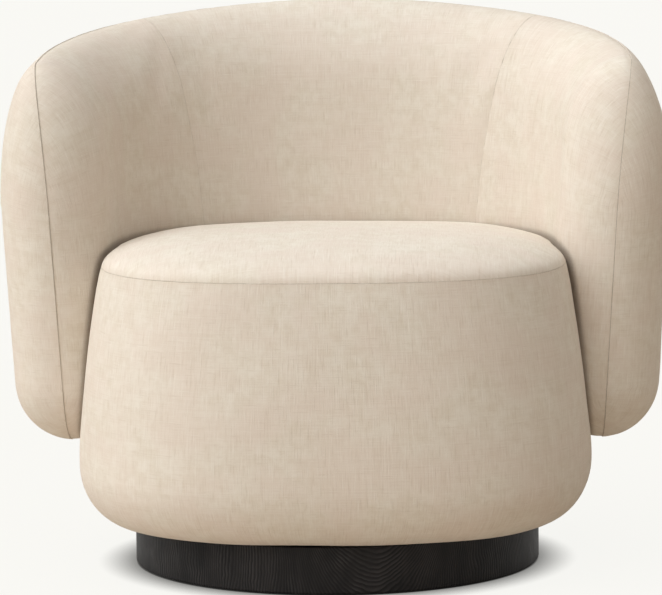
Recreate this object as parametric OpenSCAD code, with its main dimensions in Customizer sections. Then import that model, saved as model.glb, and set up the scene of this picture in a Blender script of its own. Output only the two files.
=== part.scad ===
// Swivel armchair: a wrap-round back and arm shell on a round tight seat,
// which turns on a ball race over a low round wooden plinth.
// The origin is on the floor under the swivel axis, +Z is up and the sitter looks along -Y.

/* [Back and arm shell] */
// Width over the outside of the arms at seat height
shell_width = 868; // [800:4:920]
// Thickness of the upholstered shell
shell_thickness = 140; // [124:2:152]
// Middle of the back, behind the swivel axis, at seat height
back_reach = 325; // [305:5:345]
// Widest place of the shell, in front of the swivel axis
widest_forward = 20; // [0:5:40]
// Half depth of the plan's front half
front_half_depth = 365; // [340:5:390]
// Squareness of the shell's plan, 2 for an ellipse
shell_squareness = 2.45; // [2.2:0.05:2.7]
// Angle from the back's centre to each arm's tip
arm_angle = 98; // [94:1:102]
// Height of the rim at the back's centre
back_height = 721; // [690:1:750]
// Height of the rim at the arms
arm_height = 640; // [610:2:660]
// How far round the rim keeps falling, as a share of a right angle
rim_fall = 0.78; // [0.7:0.02:0.9]
// Height of the shell's lower edge above the floor
shell_bottom = 157; // [145:1:175]
// Height of the rim's rounding
rim_rounding = 200; // [170:5:215]
// Depth of the rounding at the arms' tips
tip_rounding = 80; // [64:2:100]
// Height of the rounding at the lower edge
hem_rounding = 74; // [64:2:86]
// Outward lean of the arms, in degrees
arm_lean = 3.4; // [1:0.2:5]
// Backward lean of the back, in degrees
back_lean = 12; // [8:0.5:15]
// Angle from the back's centre to the seams between the inside back and the inside arms
inner_seam_angle = 35; // [28:1:42]
// Angle from the back's centre to the seams between the outside back and the outside arms
outer_seam_angle = 49; // [45:1:60]

/* [Seat drum] */
// Width of the drum at its widest
drum_width = 662; // [620:2:690]
// Depth of the drum as a share of its width
drum_depth_share = 0.98; // [0.94:0.01:1]
// Squareness of the drum's plan, 2 for an ellipse
drum_squareness = 2.7; // [2.4:0.1:3]
// Height of the drum's lower edge above the floor
drum_bottom = 65; // [60:1:75]
// How far the lower edge curves in
drum_corner_in = 60; // [45:1:70]
// How far up the lower edge's curve reaches
drum_corner_up = 70; // [55:1:80]
// Width of the drum at the seat seam
seam_width = 598; // [570:2:620]
// Height of the seat seam above the floor
seam_height = 393; // [375:1:410]
// How late the drum's side starts to draw in
side_bow = 1.6; // [1.2:0.1:2]
// Rise of the seat's crown over its seam
seat_crown = 45; // [36:1:54]

/* [Upholstery] */
// Thickness of the fabric covers
cover_thickness = 1.5; // [1:0.1:2]
// Foam on the inside of the back and arms
inner_foam = 38; // [30:1:42]
// Foam on the outside of the back and arms
outer_foam = 22; // [14:1:26]
// Foam round the drum
drum_padding = 24; // [16:1:28]
// Width of the cover's turn under the seat board
tack_width = 13; // [8:1:16]
// Thickness of the dust cover under the seat board
dust_cloth = 0.8; // [0.5:0.1:1]

/* [Frame] */
// Thickness of the plywood boards and ribs
ply = 18; // [15:1:21]
// Thickness of the bent lining on the inside of the shell
inner_lining = 4; // [3:0.5:5]
// Thickness of the bent lining on the outside of the shell
outer_lining = 3; // [2:0.5:4]
// Thickness of the bent lining round the drum
drum_lining = 4; // [3:0.5:5]
// Height of the shell's top rail
top_rail_height = 40; // [30:2:50]
// Radial depth of the posts between the seat board and the seat ring
post_depth = 40; // [30:2:50]
// Width of the posts
post_width = 60; // [50:2:70]
// Angle from the front to the posts beside the front post
front_post_angle = 48; // [42:1:52]
// Height of the seat ring's underside above the floor
seat_ring_height = 318; // [310:1:325]
// Width of the seat ring's rim
seat_ring_width = 62; // [50:2:76]
// Width of the elastic webbing
webbing_width = 60; // [50:2:70]
// Thickness of the elastic webbing
webbing_thickness = 1.5; // [1:0.1:2]
// Clear space between two bands of webbing
webbing_space = 26; // [16:2:40]
// Number of bands of webbing each way
webbing_count = 5; // [4:1:5]

/* [Plinth] */
// Outside diameter of the plinth
plinth_diameter = 528; // [480:2:560]
// Height of the plinth's top edge above the floor
plinth_top = 61.5; // [56:0.5:62]
// Thickness of the plinth's wall
plinth_wall = 18; // [14:1:22]
// Bevel of the plinth's edges
plinth_edge = 1.5; // [0.5:0.5:3]
// Thickness of the glide ring under the plinth
glide_height = 2; // [1.5:0.5:3]
// Width of the glide ring
glide_width = 12; // [8:1:14]
// Number of glue blocks inside the plinth
glue_blocks = 8; // [4:1:10]
// Length of a glue block along the plinth's wall
block_length = 60; // [40:5:80]
// Depth of a glue block
block_depth = 26; // [18:1:32]

/* [Swivel] */
// Thickness of the swivel plates
plate_thickness = 3; // [2.5:0.5:4]
// Diameter of the upper plate
upper_plate_diameter = 240; // [232:2:242]
// Diameter of the lower plate
lower_plate_diameter = 290; // [284:2:310]
// Diameter of the ball race
race_diameter = 150; // [130:2:156]
// Diameter of the balls
ball_diameter = 11; // [10:0.5:12]
// Number of balls
balls = 20; // [14:1:24]
// Diameter of the centre pin
pin_diameter = 20; // [14:1:24]
// Diameter of the circle of seat bolts
seat_bolt_circle = 200; // [196:2:208]
// Thread diameter of the seat bolts
seat_bolt_thread = 8; // [6:1:8]
// Diameter of the circle of wood screws in the lower plate
screw_circle = 264; // [260:2:270]
// Shank diameter of the wood screws
screw_thread = 5; // [4:0.5:6]
// Thread diameter of the bolts between shell and seat frame
shell_bolt_thread = 10; // [8:1:10]
// Diameter of the cross dowels that the shell bolts screw into
cross_dowel_diameter = 16; // [14:1:18]
// Diameter of the wooden spacers on the shell bolts
spacer_diameter = 50; // [40:2:54]

/* [Hidden] */

fabric_colour = [0.86, 0.80, 0.70];
foam_colour = [0.95, 0.90, 0.72];
ply_colour = [0.80, 0.66, 0.47];
lining_colour = [0.60, 0.50, 0.38];
oak_colour = [0.10, 0.09, 0.085];
steel_colour = [0.68, 0.69, 0.71];
nylon_colour = [0.75, 0.62, 0.25];
cloth_colour = [0.08, 0.08, 0.08];
webbing_colour = [0.25, 0.25, 0.27];

// Clearances
soft_gap = 0.2;
seam_gap = 0.15;
board_gap = 0.8;
frame_clear = 1.3;
shell_gap = 0.5;
frame_gap = 2;
post_gap = 4;
running_gap = 0.05;
race_gap = 0.1;
cage_gap = 0.15;
end_play = 0.3;
bolt_gap = 0.3;

// How far a cutting shape reaches past the face that it cuts
cut = 1;

$fn = 64;

// Shell: sizes that follow from the driving ones
half_thickness = shell_thickness / 2;
mid_half_width = shell_width / 2 - half_thickness;
back_half_depth = back_reach + widest_forward;
seat_level = seam_height + seat_crown;
hem_top = shell_bottom + hem_rounding;
tip_turn = tip_rounding / mid_half_width * 180 / PI;
straight_turn = arm_angle - tip_turn;

// Depths under the shell's skin at which the layers of the upholstery and the frame lie
foam_inset = cover_thickness + soft_gap;
inner_core_inset = foam_inset + inner_foam + soft_gap;
outer_core_inset = foam_inset + outer_foam + soft_gap;
inner_frame_inset = inner_core_inset + inner_lining + frame_clear;
outer_frame_inset = outer_core_inset + outer_lining + frame_clear;

// Shell: its columns of points, numbered from the back's centre towards +X, with seams on two of them
back_columns = 5;
between_columns = 2;
arm_columns = 5;
function steps_between(from, to, count) = [for (k = [1:count]) from + (to - from) * k / count];
half_turns = concat([0],
    steps_between(0, inner_seam_angle, back_columns),
    steps_between(inner_seam_angle, outer_seam_angle, between_columns),
    steps_between(outer_seam_angle, straight_turn, arm_columns));
side_columns = len(half_turns) - 1;
function turn(k) = sign(k) * half_turns[abs(k)];

// Grid of the skin, each column [angle, tip share], each row [height share, edge share]
tip_steps = 4;
hem_steps = 3;
middle_steps = 2;
rim_steps = 5;
function quarter_shares(count) = [for (k = [1:count]) sin(90 * k / count)];
function reversed(list) = [for (k = [len(list) - 1:-1:0]) list[k]];
columns = concat(
    [for (share = reversed(quarter_shares(tip_steps))) [-straight_turn, -share]],
    [for (k = [-side_columns:side_columns]) [turn(k), 0]],
    [for (share = quarter_shares(tip_steps)) [straight_turn, share]]);
rows = concat(
    [for (share = reversed(quarter_shares(hem_steps))) [0, -share]],
    [for (k = [0:middle_steps]) [k / middle_steps, 0]],
    [for (share = quarter_shares(rim_steps)) [1, share]]);
last_column = len(columns) - 1;
last_row = len(rows) - 1;
middle_column = tip_steps + side_columns;
inner_seam_column = middle_column + back_columns;
outer_seam_column = inner_seam_column + between_columns;

// Plan of the shell's middle surface, at an angle measured from the back's centre towards +X
function half_depth(t) = cos(t) > 0 ? back_half_depth : front_half_depth;
function plan_radius(t) =
    pow(pow(abs(sin(t)) / mid_half_width, shell_squareness)
        + pow(abs(cos(t)) / half_depth(t), shell_squareness), -1 / shell_squareness);
function plan_point(t) = [plan_radius(t) * sin(t), plan_radius(t) * cos(t) - widest_forward];
function slope_part(s, reach) = sign(s) * pow(abs(s) / reach, shell_squareness - 1) / reach;
function plan_normal(t) =
    let (r = plan_radius(t),
        nx = slope_part(r * sin(t), mid_half_width),
        ny = slope_part(r * cos(t), half_depth(t)))
    [nx, ny] / norm([nx, ny]);
function rim_height(t) =
    arm_height + (back_height - arm_height) * pow(cos(min(abs(t) * rim_fall, 90)), 2);
function lean_slope(t) =
    tan(arm_lean) + (tan(back_lean) - tan(arm_lean)) * pow(cos(min(abs(t), 90)), 2);
function lean(t, z) = (z - seat_level) * lean_slope(t);
function plan_place(t, out, z) =
    let (p = plan_point(t) + plan_normal(t) * (lean(t, z) + out))
    [p[0], p[1], z];

// Height of a row of the skin, where the rim has a given height
function row_height(rim, row, edge, inset) =
    row[1] > 0 ? rim - rim_rounding + (rim_rounding - inset) * edge
    : row[1] < 0 ? hem_top - (hem_rounding - inset) * edge
    : hem_top + (rim - rim_rounding - hem_top) * row[0];

// A point of the shell's skin: side 1 is outside and -1 inside, inset is the depth under the skin,
// join is the distance from the middle surface at which the two sides end
function skin_point(column, row, side, inset, join) =
    let (u = column[1],
        v = row[1],
        tip = u * sqrt(1 - v * v / 2),
        edge = abs(v) * sqrt(1 - u * u / 2),
        t = column[0] + tip * (tip_turn - inset / mid_half_width * 180 / PI),
        half = join + (half_thickness - inset - join) * sqrt((1 - u * u) * (1 - v * v)))
    plan_place(t, side * half, row_height(rim_height(t), row, edge, inset));
function skin(side, inset, join, from_column, to_column) =
    [for (i = [from_column:to_column]) [for (row = rows) skin_point(columns[i], row, side, inset, join)]];

// Grids of points joined into one closed solid. Each cell's diagonal depends on its quarter of the shell.
function flat_list(grid) = [for (line = grid) for (p = line) p];
function pair(a, b, c, d, turned) = turned ? [[a, c, b], [a, d, c]] : [[a, b, c], [a, c, d]];
function cell(a, b, c, d, turned, other_way) =
    other_way ? pair(b, c, d, a, turned) : pair(a, b, c, d, turned);
function grid_faces(n, m, start, turned, first_column) =
    [for (i = [0:n - 2])
        for (j = [0:m - 2])
            let (a = start + i * m + j,
                b = start + (i + 1) * m + j)
            each cell(a, b, b + 1, a + 1, turned,
                (i + first_column < middle_column) != (2 * j < last_row))];
function edge_faces(n, m, other) =
    let (top = m - 1,
        end = (n - 1) * m)
    concat(
        [for (i = [0:n - 2])
            each pair(i * m, (i + 1) * m, other + (i + 1) * m, other + i * m, true)],
        [for (i = [0:n - 2])
            each pair(i * m + top, (i + 1) * m + top, other + (i + 1) * m + top, other + i * m + top, false)],
        [for (j = [0:m - 2]) each pair(j, j + 1, other + j + 1, other + j, false)],
        [for (j = [0:m - 2])
            each pair(end + j, end + j + 1, other + end + j + 1, other + end + j, true)]);

module slab(face, back_face, first_column) {
    n = len(face);
    m = len(face[0]);
    polyhedron(points = concat(flat_list(face), flat_list(back_face)),
        faces = concat(
            grid_faces(n, m, 0, false, first_column),
            grid_faces(n, m, n * m, true, first_column),
            edge_faces(n, m, n * m)));
}

// A layer of the shell between two depths under its skin
module shell_layer(side, top_inset, bottom_inset, from_column, to_column) {
    upper = skin(side, top_inset, seam_gap, from_column, to_column);
    lower = skin(side, bottom_inset, seam_gap, from_column, to_column);
    if (side > 0) slab(upper, lower, from_column);
    else slab(lower, upper, from_column);
}

// The lower part of the shell as one solid, grown by a clearance, to cut what it meets. It reaches one row
// into the rim's rounding, and the outside and inside points are the same along its ends and lower edge.
space_rows = hem_steps + middle_steps + 1;
function space_skin(side, grow) =
    [for (line = skin(side, -grow, 0, 0, last_column)) [for (j = [0:space_rows]) line[j]]];
function inside_index(k, n, m) = k < m || k >= (n - 1) * m || k % m == 0 ? k : n * m + k;
function is_triangle(face) = face[0] != face[1] && face[1] != face[2] && face[2] != face[0];
module shell_space(grow) {
    outside = space_skin(1, grow);
    inside = space_skin(-1, grow);
    n = len(outside);
    m = len(outside[0]);
    top_faces = [for (i = [0:n - 2])
        let (k = i * m + m - 1)
        each pair(k, k + m, inside_index(k + m, n, m), inside_index(k, n, m), false)];
    polyhedron(points = concat(flat_list(outside), flat_list(inside)),
        faces = concat(
            grid_faces(n, m, 0, false, 0),
            [for (face = grid_faces(n, m, 0, true, 0)) [for (k = face) inside_index(k, n, m)]],
            [for (face = top_faces) if (is_triangle(face)) face]));
}

// Everything inside the shell's inner face at one height, open to the front
module inside_shell(z, height, gap) {
    reach = shell_width;
    turns = concat([-arm_angle], [for (k = [-side_columns:side_columns]) turn(k)], [arm_angle]);
    edge = [for (t = turns) plan_place(t, -half_thickness - gap, z)];
    front = edge[0][1];
    translate([0, 0, z])
        linear_extrude(height)
            polygon(concat([for (p = edge) [p[0], p[1]]],
                [[reach, front], [reach, -reach], [-reach, -reach], [-reach, front]]));
}

// A place between two neighbouring columns: the skin is flat across it
function cell_angle(c) = (turn(c) + turn(c + 1)) / 2;
function cell_chord(c) = plan_point(turn(c + 1)) - plan_point(turn(c));
function cell_middle(c) = (plan_point(turn(c)) + plan_point(turn(c + 1))) / 2;
function cell_normal(c) = [-cell_chord(c)[1], cell_chord(c)[0]] / norm(cell_chord(c));
function cell_share(c) = (plan_normal(turn(c)) + plan_normal(turn(c + 1))) * cell_normal(c) / 2;
function cell_out(c, out, z) = ((lean(turn(c), z) + lean(turn(c + 1), z)) / 2 + out) * cell_share(c);
function cell_rim(c) = (rim_height(turn(c)) + rim_height(turn(c + 1))) / 2;

// Puts its children at such a place, with +X pointing out of the shell
module at_cell(c, z) {
    translate([cell_middle(c)[0], cell_middle(c)[1], z])
        rotate([0, 0, atan2(cell_normal(c)[1], cell_normal(c)[0])])
            children();
}

// Drum: its plan is the same rounded square at every height
drum_steps = 36;
corner_steps = 4;
low_side_steps = 4;
high_side_steps = 1;
crown_steps = 6;
drum_half = drum_width / 2;
seam_half = seam_width / 2;
corner_top = drum_bottom + drum_corner_up;
corner_start = drum_half - drum_corner_in;
seat_ring_top = seat_ring_height + ply;
webbing_top = seat_ring_top + 2 * (webbing_thickness + soft_gap);
lining_inset = foam_inset + drum_padding + soft_gap;
drum_frame_inset = lining_inset + drum_lining + soft_gap;
side_levels = concat(
    steps_between(corner_top, seat_ring_top, low_side_steps),
    steps_between(seat_ring_top, seam_height, high_side_steps));

function drum_plan(t) =
    pow(pow(abs(sin(t)), drum_squareness) + pow(abs(cos(t)) / drum_depth_share, drum_squareness),
        -1 / drum_squareness);
function drum_ring(half, z) =
    [for (k = [0:drum_steps - 1])
        let (t = 360 * k / drum_steps,
            r = half * drum_plan(t))
        [r * sin(t), -r * cos(t), z]];
function drum_side(z) =
    drum_half - (drum_half - seam_half) * pow((z - corner_top) / (seam_height - corner_top), side_bow);
function corner_rings(inset) =
    [for (k = [corner_steps:-1:1])
        let (a = 90 * k / corner_steps)
        drum_ring(corner_start + (drum_corner_in - inset) * cos(a),
            corner_top - (drum_corner_up - inset) * sin(a))];
function side_rings(inset, low, high) =
    [for (z = concat([low], [for (level = side_levels) if (level > low && level < high) level], [high]))
        drum_ring(drum_side(z) - inset, z)];
function crown_rings(inset) =
    [for (k = [0:crown_steps - 1])
        let (a = 90 * k / crown_steps)
        drum_ring((seam_half - inset) * cos(a), seam_height + (seat_crown - inset) * sin(a))];

// Rings of points joined one after the other: a loop closes on its first ring,
// a stack ends in a middle point below and above
function ring_faces(first, second, n) =
    [for (k = [0:n - 1])
        each pair(first * n + k, first * n + (k + 1) % n, second * n + (k + 1) % n, second * n + k, true)];
module ring_loop(rings) {
    n = len(rings[0]);
    count = len(rings);
    polyhedron(points = flat_list(rings),
        faces = [for (i = [0:count - 1]) each ring_faces(i, (i + 1) % count, n)]);
}
module ring_stack(rings, low_z, high_z) {
    n = len(rings[0]);
    count = len(rings);
    polyhedron(points = concat(flat_list(rings), [[0, 0, low_z], [0, 0, high_z]]),
        faces = concat(
            [for (i = [0:count - 2]) each ring_faces(i, i + 1, n)],
            [for (k = [0:n - 1]) [count * n, k, (k + 1) % n]],
            [for (k = [0:n - 1]) [count * n + 1, (count - 1) * n + (k + 1) % n, (count - 1) * n + k]]));
}

module drum_outline(half) {
    polygon([for (p = drum_ring(half, 0)) [p[0], p[1]]]);
}

// Frame: ribs stand between the columns named here, and the shell bolts go into some of them
rib_cells = [1, 4, 7, 11];
bolted_cells = [4, 11];
function both_sides(cells) = concat([for (c = reversed(cells)) -c - 1], cells);
function is_bolted(c) = c == -bolted_cells[0] - 1 || c == -bolted_cells[1] - 1
    || c == bolted_cells[0] || c == bolted_cells[1];

// Share of the rounding that the rails reach into, and their width as a share of the frame's
rail_reach = 0.75;
rail_inner_share = 0.6;
rail_outer_share = 0.5;
board_bottom = drum_bottom + cover_thickness + soft_gap;
board_top = board_bottom + ply;
bottom_rail_z = hem_top - rail_reach * (hem_rounding - inner_frame_inset);
bottom_rail_top = bottom_rail_z + ply;
rail_inward = rail_inner_share * (half_thickness - inner_frame_inset);
rail_outward = rail_outer_share * (half_thickness - outer_frame_inset);
function top_rail_z(t) =
    rim_height(t) - rim_rounding + rail_reach * (rim_rounding - inner_frame_inset) - top_rail_height;

// Shell bolts: their height, a little below the seat ring, and the upright face of the posts that they pass
spacer_drop = 18;
shell_bolt_z = seat_ring_height - spacer_diameter / 2 - spacer_drop;
bolt_past_dowel = 6;
spacer_hole = spacer_diameter / 2 + soft_gap;
face_checks = 8;
function inner_face(c, z) =
    cell_out(c, -half_thickness * sqrt(1 - pow((hem_top - z) / hem_rounding, 2)), z);
function board_edge(c) =
    let (p = cell_middle(c))
    (corner_start - soft_gap) * drum_plan(atan2(p[0], -p[1])) - norm(p);
function post_face(c) =
    min(concat([board_edge(c)],
        [for (k = [0:face_checks]) inner_face(c, hem_top - hem_rounding * k / (2 * face_checks))])) - post_gap;

module along_normal(from, to, diameter) {
    translate([from, 0, 0])
        rotate([0, 90, 0])
            cylinder(h = to - from, d = diameter);
}

// Holes for the spacers through the inner cover, foam and lining, and through the drum's where they meet it
module spacer_holes() {
    for (c = both_sides(bolted_cells))
        at_cell(c, shell_bolt_z)
            along_normal(post_face(c) - cut, cell_out(c, 0, shell_bolt_z), 2 * spacer_hole);
}

// Plinth and swivel: places that more than one piece uses
plinth_radius = plinth_diameter / 2;
plinth_inner = plinth_radius - plinth_wall;
glide_radius = plinth_radius - plinth_wall / 2;
groove_depth = 0.6;
ball_space = ball_diameter - 2 * groove_depth;
upper_plate_z = board_bottom - plate_thickness;
lower_plate_z = upper_plate_z - ball_space - plate_thickness;
plinth_board_z = lower_plate_z - ply;
block_lift = 2;
race_z = upper_plate_z - ball_space / 2;
race_radius = race_diameter / 2;
ball_radius = ball_diameter / 2;
cage_thickness = 2;
cage_rim = 3.5;
pin_flange = 16;
pin_flange_height = 3;
pin_clearance = 5;
seat_bolt_count = 4;
head_height = 5;
head_ratio = 1.7;
bolt_past_nut = 3;
seat_bolt_hole = seat_bolt_thread / 2 + bolt_gap;
tee_barrel = seat_bolt_thread / 2 + 1.5;
tee_barrel_height = 12;
tee_flange = 11;
tee_flange_height = 1.2;
access_hole = 9;
screw_count = 6;
screw_head_height = 2.5;
screw_bite = 14;

module at_seat_bolts(z) {
    for (k = [0:seat_bolt_count - 1])
        rotate([0, 0, 360 * (k + 0.5) / seat_bolt_count])
            translate([seat_bolt_circle / 2, 0, z])
                children();
}

module at_screws(z) {
    for (k = [0:screw_count - 1])
        rotate([0, 0, 360 * k / screw_count])
            translate([screw_circle / 2, 0, z])
                children();
}

module glide_ring() {
    color(cloth_colour)
        difference() {
            cylinder(h = glide_height, r = glide_radius + glide_width / 2);
            translate([0, 0, -cut])
                cylinder(h = glide_height + 2 * cut, r = glide_radius - glide_width / 2);
        }
}

module plinth_ring() {
    color(oak_colour)
        rotate_extrude()
            polygon([
                [plinth_inner, glide_height],
                [plinth_radius - plinth_edge, glide_height],
                [plinth_radius, glide_height + plinth_edge],
                [plinth_radius, plinth_top - plinth_edge],
                [plinth_radius - plinth_edge, plinth_top],
                [plinth_inner, plinth_top]]);
}

module plinth_board() {
    color(ply_colour)
        difference() {
            translate([0, 0, plinth_board_z])
                cylinder(h = ply, r = plinth_inner);
            translate([0, 0, plinth_board_z - cut])
                cylinder(h = ply + 2 * cut, r = pin_flange + pin_clearance);
            at_seat_bolts(plinth_board_z - cut)
                cylinder(h = ply + 2 * cut, r = access_hole);
            at_screws(lower_plate_z - screw_bite)
                cylinder(h = screw_bite + cut, d = screw_thread);
        }
}

module plinth_glue_blocks() {
    low = glide_height + block_lift;
    reach = sqrt(plinth_inner * plinth_inner - block_length * block_length / 4) - soft_gap;
    color(ply_colour)
        for (k = [0:glue_blocks - 1])
            rotate([0, 0, 360 * (k + 0.5) / glue_blocks])
                translate([reach - block_depth, -block_length / 2, low])
                    cube([block_depth, block_length, plinth_board_z - low]);
}

module race_groove() {
    rotate_extrude()
        translate([race_radius, race_z])
            circle(r = ball_radius + race_gap);
}

module swivel_lower_plate() {
    color(steel_colour)
        difference() {
            translate([0, 0, lower_plate_z])
                cylinder(h = plate_thickness, d = lower_plate_diameter);
            translate([0, 0, lower_plate_z - cut])
                cylinder(h = plate_thickness + 2 * cut, d = pin_diameter);
            race_groove();
            at_seat_bolts(lower_plate_z - cut)
                cylinder(h = plate_thickness + 2 * cut, r = access_hole);
            at_screws(lower_plate_z - cut)
                cylinder(h = plate_thickness + 2 * cut, d = screw_thread + 2 * bolt_gap);
        }
}

module swivel_pin() {
    low = lower_plate_z - pin_flange_height;
    high = board_bottom + end_play;
    color(steel_colour) {
        translate([0, 0, low])
            cylinder(h = pin_flange_height, r = pin_flange);
        translate([0, 0, low])
            cylinder(h = high + pin_flange_height - low, d = pin_diameter);
        translate([0, 0, high])
            cylinder(h = pin_flange_height, r = pin_flange);
    }
}

module plinth_screws() {
    color(steel_colour) {
        at_screws(lower_plate_z - screw_bite)
            cylinder(h = screw_bite + plate_thickness, d = screw_thread);
        at_screws(lower_plate_z + plate_thickness)
            cylinder(h = screw_head_height, d = 2 * screw_thread);
    }
}

module bearing_balls() {
    color(steel_colour)
        for (k = [0:balls - 1])
            rotate([0, 0, 360 * k / balls])
                translate([race_radius, 0, race_z])
                    sphere(r = ball_radius);
}

module ball_cage() {
    color(nylon_colour)
        difference() {
            translate([0, 0, race_z - cage_thickness / 2])
                cylinder(h = cage_thickness, r = race_radius + ball_radius + cage_rim);
            translate([0, 0, race_z - cage_thickness])
                cylinder(h = 2 * cage_thickness, r = race_radius - ball_radius - cage_rim);
            for (k = [0:balls - 1])
                rotate([0, 0, 360 * k / balls])
                    translate([race_radius, 0, race_z - cage_thickness])
                        cylinder(h = 2 * cage_thickness, r = ball_radius + cage_gap);
        }
}

module swivel_upper_plate() {
    color(steel_colour)
        difference() {
            translate([0, 0, upper_plate_z])
                cylinder(h = plate_thickness, d = upper_plate_diameter);
            translate([0, 0, upper_plate_z - cut])
                cylinder(h = plate_thickness + 2 * cut, r = pin_diameter / 2 + running_gap);
            race_groove();
            at_seat_bolts(upper_plate_z - cut)
                cylinder(h = plate_thickness + 2 * cut, r = seat_bolt_hole);
        }
}

module seat_bolts() {
    shank = board_top + tee_flange_height + bolt_past_nut - upper_plate_z;
    color(steel_colour) {
        at_seat_bolts(upper_plate_z - head_height)
            cylinder(h = head_height, d = head_ratio * seat_bolt_thread, $fn = 6);
        at_seat_bolts(upper_plate_z)
            cylinder(h = shank, d = seat_bolt_thread);
    }
}

module tee_nuts() {
    color(steel_colour)
        at_seat_bolts(board_top - tee_barrel_height)
            difference() {
                union() {
                    cylinder(h = tee_barrel_height + tee_flange_height, r = tee_barrel);
                    translate([0, 0, tee_barrel_height])
                        cylinder(h = tee_flange_height, r = tee_flange);
                }
                translate([0, 0, -cut])
                    cylinder(h = tee_barrel_height + tee_flange_height + 2 * cut,
                        r = seat_bolt_thread / 2 + running_gap);
            }
}

module seat_board() {
    color(ply_colour)
        difference() {
            translate([0, 0, board_bottom])
                linear_extrude(ply)
                    drum_outline(corner_start - soft_gap);
            translate([0, 0, board_bottom - cut])
                cylinder(h = ply + 2 * cut, r = pin_flange + pin_clearance);
            at_seat_bolts(board_bottom - cut)
                cylinder(h = ply + 2 * cut, r = seat_bolt_hole);
            at_seat_bolts(board_top - tee_barrel_height)
                cylinder(h = tee_barrel_height + cut, r = tee_barrel + running_gap);
        }
}

module dust_cover() {
    color(cloth_colour)
        translate([0, 0, board_bottom - soft_gap - dust_cloth])
            difference() {
                linear_extrude(dust_cloth)
                    drum_outline(corner_start - tack_width - frame_gap);
                translate([0, 0, -cut])
                    cylinder(h = dust_cloth + 2 * cut, d = upper_plate_diameter + 2 * frame_gap);
            }
}

module seat_posts() {
    height = seat_ring_height - board_top;
    front_half = min(drum_side(seat_ring_top) - drum_frame_inset, corner_start - soft_gap) - post_gap;
    color(ply_colour) {
        for (c = both_sides(bolted_cells))
            difference() {
                at_cell(c, board_top)
                    translate([post_face(c) - post_depth, -post_width / 2, 0])
                        cube([post_depth, post_width, height]);
                at_cell(c, shell_bolt_z)
                    along_normal(post_face(c) - post_depth - cut, post_face(c) + cut,
                        shell_bolt_thread + 2 * bolt_gap);
            }
        for (t = [-front_post_angle, 0, front_post_angle])
            rotate([0, 0, t])
                translate([-post_width / 2, -front_half * drum_plan(t), board_top])
                    cube([post_width, post_depth, height]);
    }
}

module seat_ring() {
    ring_half = drum_side(seat_ring_top) - drum_frame_inset;
    color(ply_colour)
        difference() {
            intersection() {
                translate([0, 0, seat_ring_height])
                    linear_extrude(ply)
                        drum_outline(ring_half);
                inside_shell(seat_ring_height, ply, frame_gap);
            }
            intersection() {
                translate([0, 0, seat_ring_height - cut])
                    linear_extrude(ply + 2 * cut)
                        drum_outline(ring_half - seat_ring_width);
                inside_shell(seat_ring_height - cut, ply + 2 * cut, frame_gap + seat_ring_width);
            }
        }
}

// Bands of webbing side by side, clipped a little inside the seat ring's outline
module webbing_bands(z, direction) {
    pitch = webbing_width + webbing_space;
    clip = 8;
    intersection() {
        rotate([0, 0, direction])
            for (k = [0:webbing_count - 1])
                translate([-drum_half, (k - (webbing_count - 1) / 2) * pitch - webbing_width / 2, z])
                    cube([drum_width, webbing_width, webbing_thickness]);
        translate([0, 0, z - cut])
            linear_extrude(webbing_thickness + 2 * cut)
                drum_outline(drum_side(seat_ring_top) - drum_frame_inset - clip);
        inside_shell(z - cut, webbing_thickness + 2 * cut, frame_gap + clip);
    }
}

module webbing_across() {
    color(webbing_colour)
        webbing_bands(seat_ring_top + soft_gap, 0);
}

module webbing_front_to_back() {
    color(webbing_colour)
        webbing_bands(webbing_top - webbing_thickness, 90);
}

module drum_lining_board() {
    color(lining_colour)
        difference() {
            ring_loop(concat(
                side_rings(lining_inset, corner_top, seat_ring_top),
                reversed(side_rings(lining_inset + drum_lining, corner_top, seat_ring_top))));
            shell_space(shell_gap);
            spacer_holes();
        }
}

module drum_foam() {
    top = webbing_top;
    color(foam_colour)
        difference() {
            ring_loop(concat(
                corner_rings(foam_inset),
                side_rings(foam_inset, corner_top, top),
                reversed(side_rings(foam_inset + drum_padding, corner_top, top)),
                reversed(corner_rings(foam_inset + drum_padding))));
            shell_space(shell_gap);
            spacer_holes();
        }
}

module drum_cover() {
    color(fabric_colour)
        difference() {
            ring_loop(concat(
                [drum_ring(corner_start - tack_width, drum_bottom)],
                corner_rings(0),
                side_rings(0, corner_top, seam_height),
                reversed(side_rings(cover_thickness, corner_top, seam_height)),
                reversed(corner_rings(cover_thickness)),
                [drum_ring(corner_start - tack_width, drum_bottom + cover_thickness)]));
            shell_space(shell_gap);
            spacer_holes();
        }
}

module seat_foam() {
    floor_z = webbing_top + soft_gap;
    color(foam_colour)
        difference() {
            ring_stack(concat(
                side_rings(foam_inset, floor_z, seam_height),
                [for (k = [1:crown_steps - 1]) crown_rings(foam_inset)[k]]),
                floor_z, seat_level - foam_inset);
            shell_space(shell_gap);
        }
}

module seat_top_cover() {
    color(fabric_colour)
        difference() {
            ring_stack(concat(reversed(crown_rings(cover_thickness)), crown_rings(0)),
                seat_level - cover_thickness, seat_level);
            shell_space(shell_gap);
        }
}

module shell_bottom_rail() {
    middle = bottom_rail_z + ply / 2;
    turns = [for (k = [-side_columns:side_columns]) turn(k)];
    outer_line = [for (t = turns) plan_place(t, rail_outward, middle)];
    inner_line = [for (t = turns) plan_place(t, -rail_inward, middle)];
    color(ply_colour)
        translate([0, 0, bottom_rail_z])
            linear_extrude(ply)
                polygon([for (p = concat(outer_line, reversed(inner_line))) [p[0], p[1]]]);
}

// The frame's section at a place between two columns, one side of it
function frame_side(c, side, inset) =
    [for (row = rows)
        let (z = row_height(cell_rim(c), row, abs(row[1]), inset))
        [cell_out(c, side * (half_thickness - inset) * sqrt(1 - row[1] * row[1]), z), z]];

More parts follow.
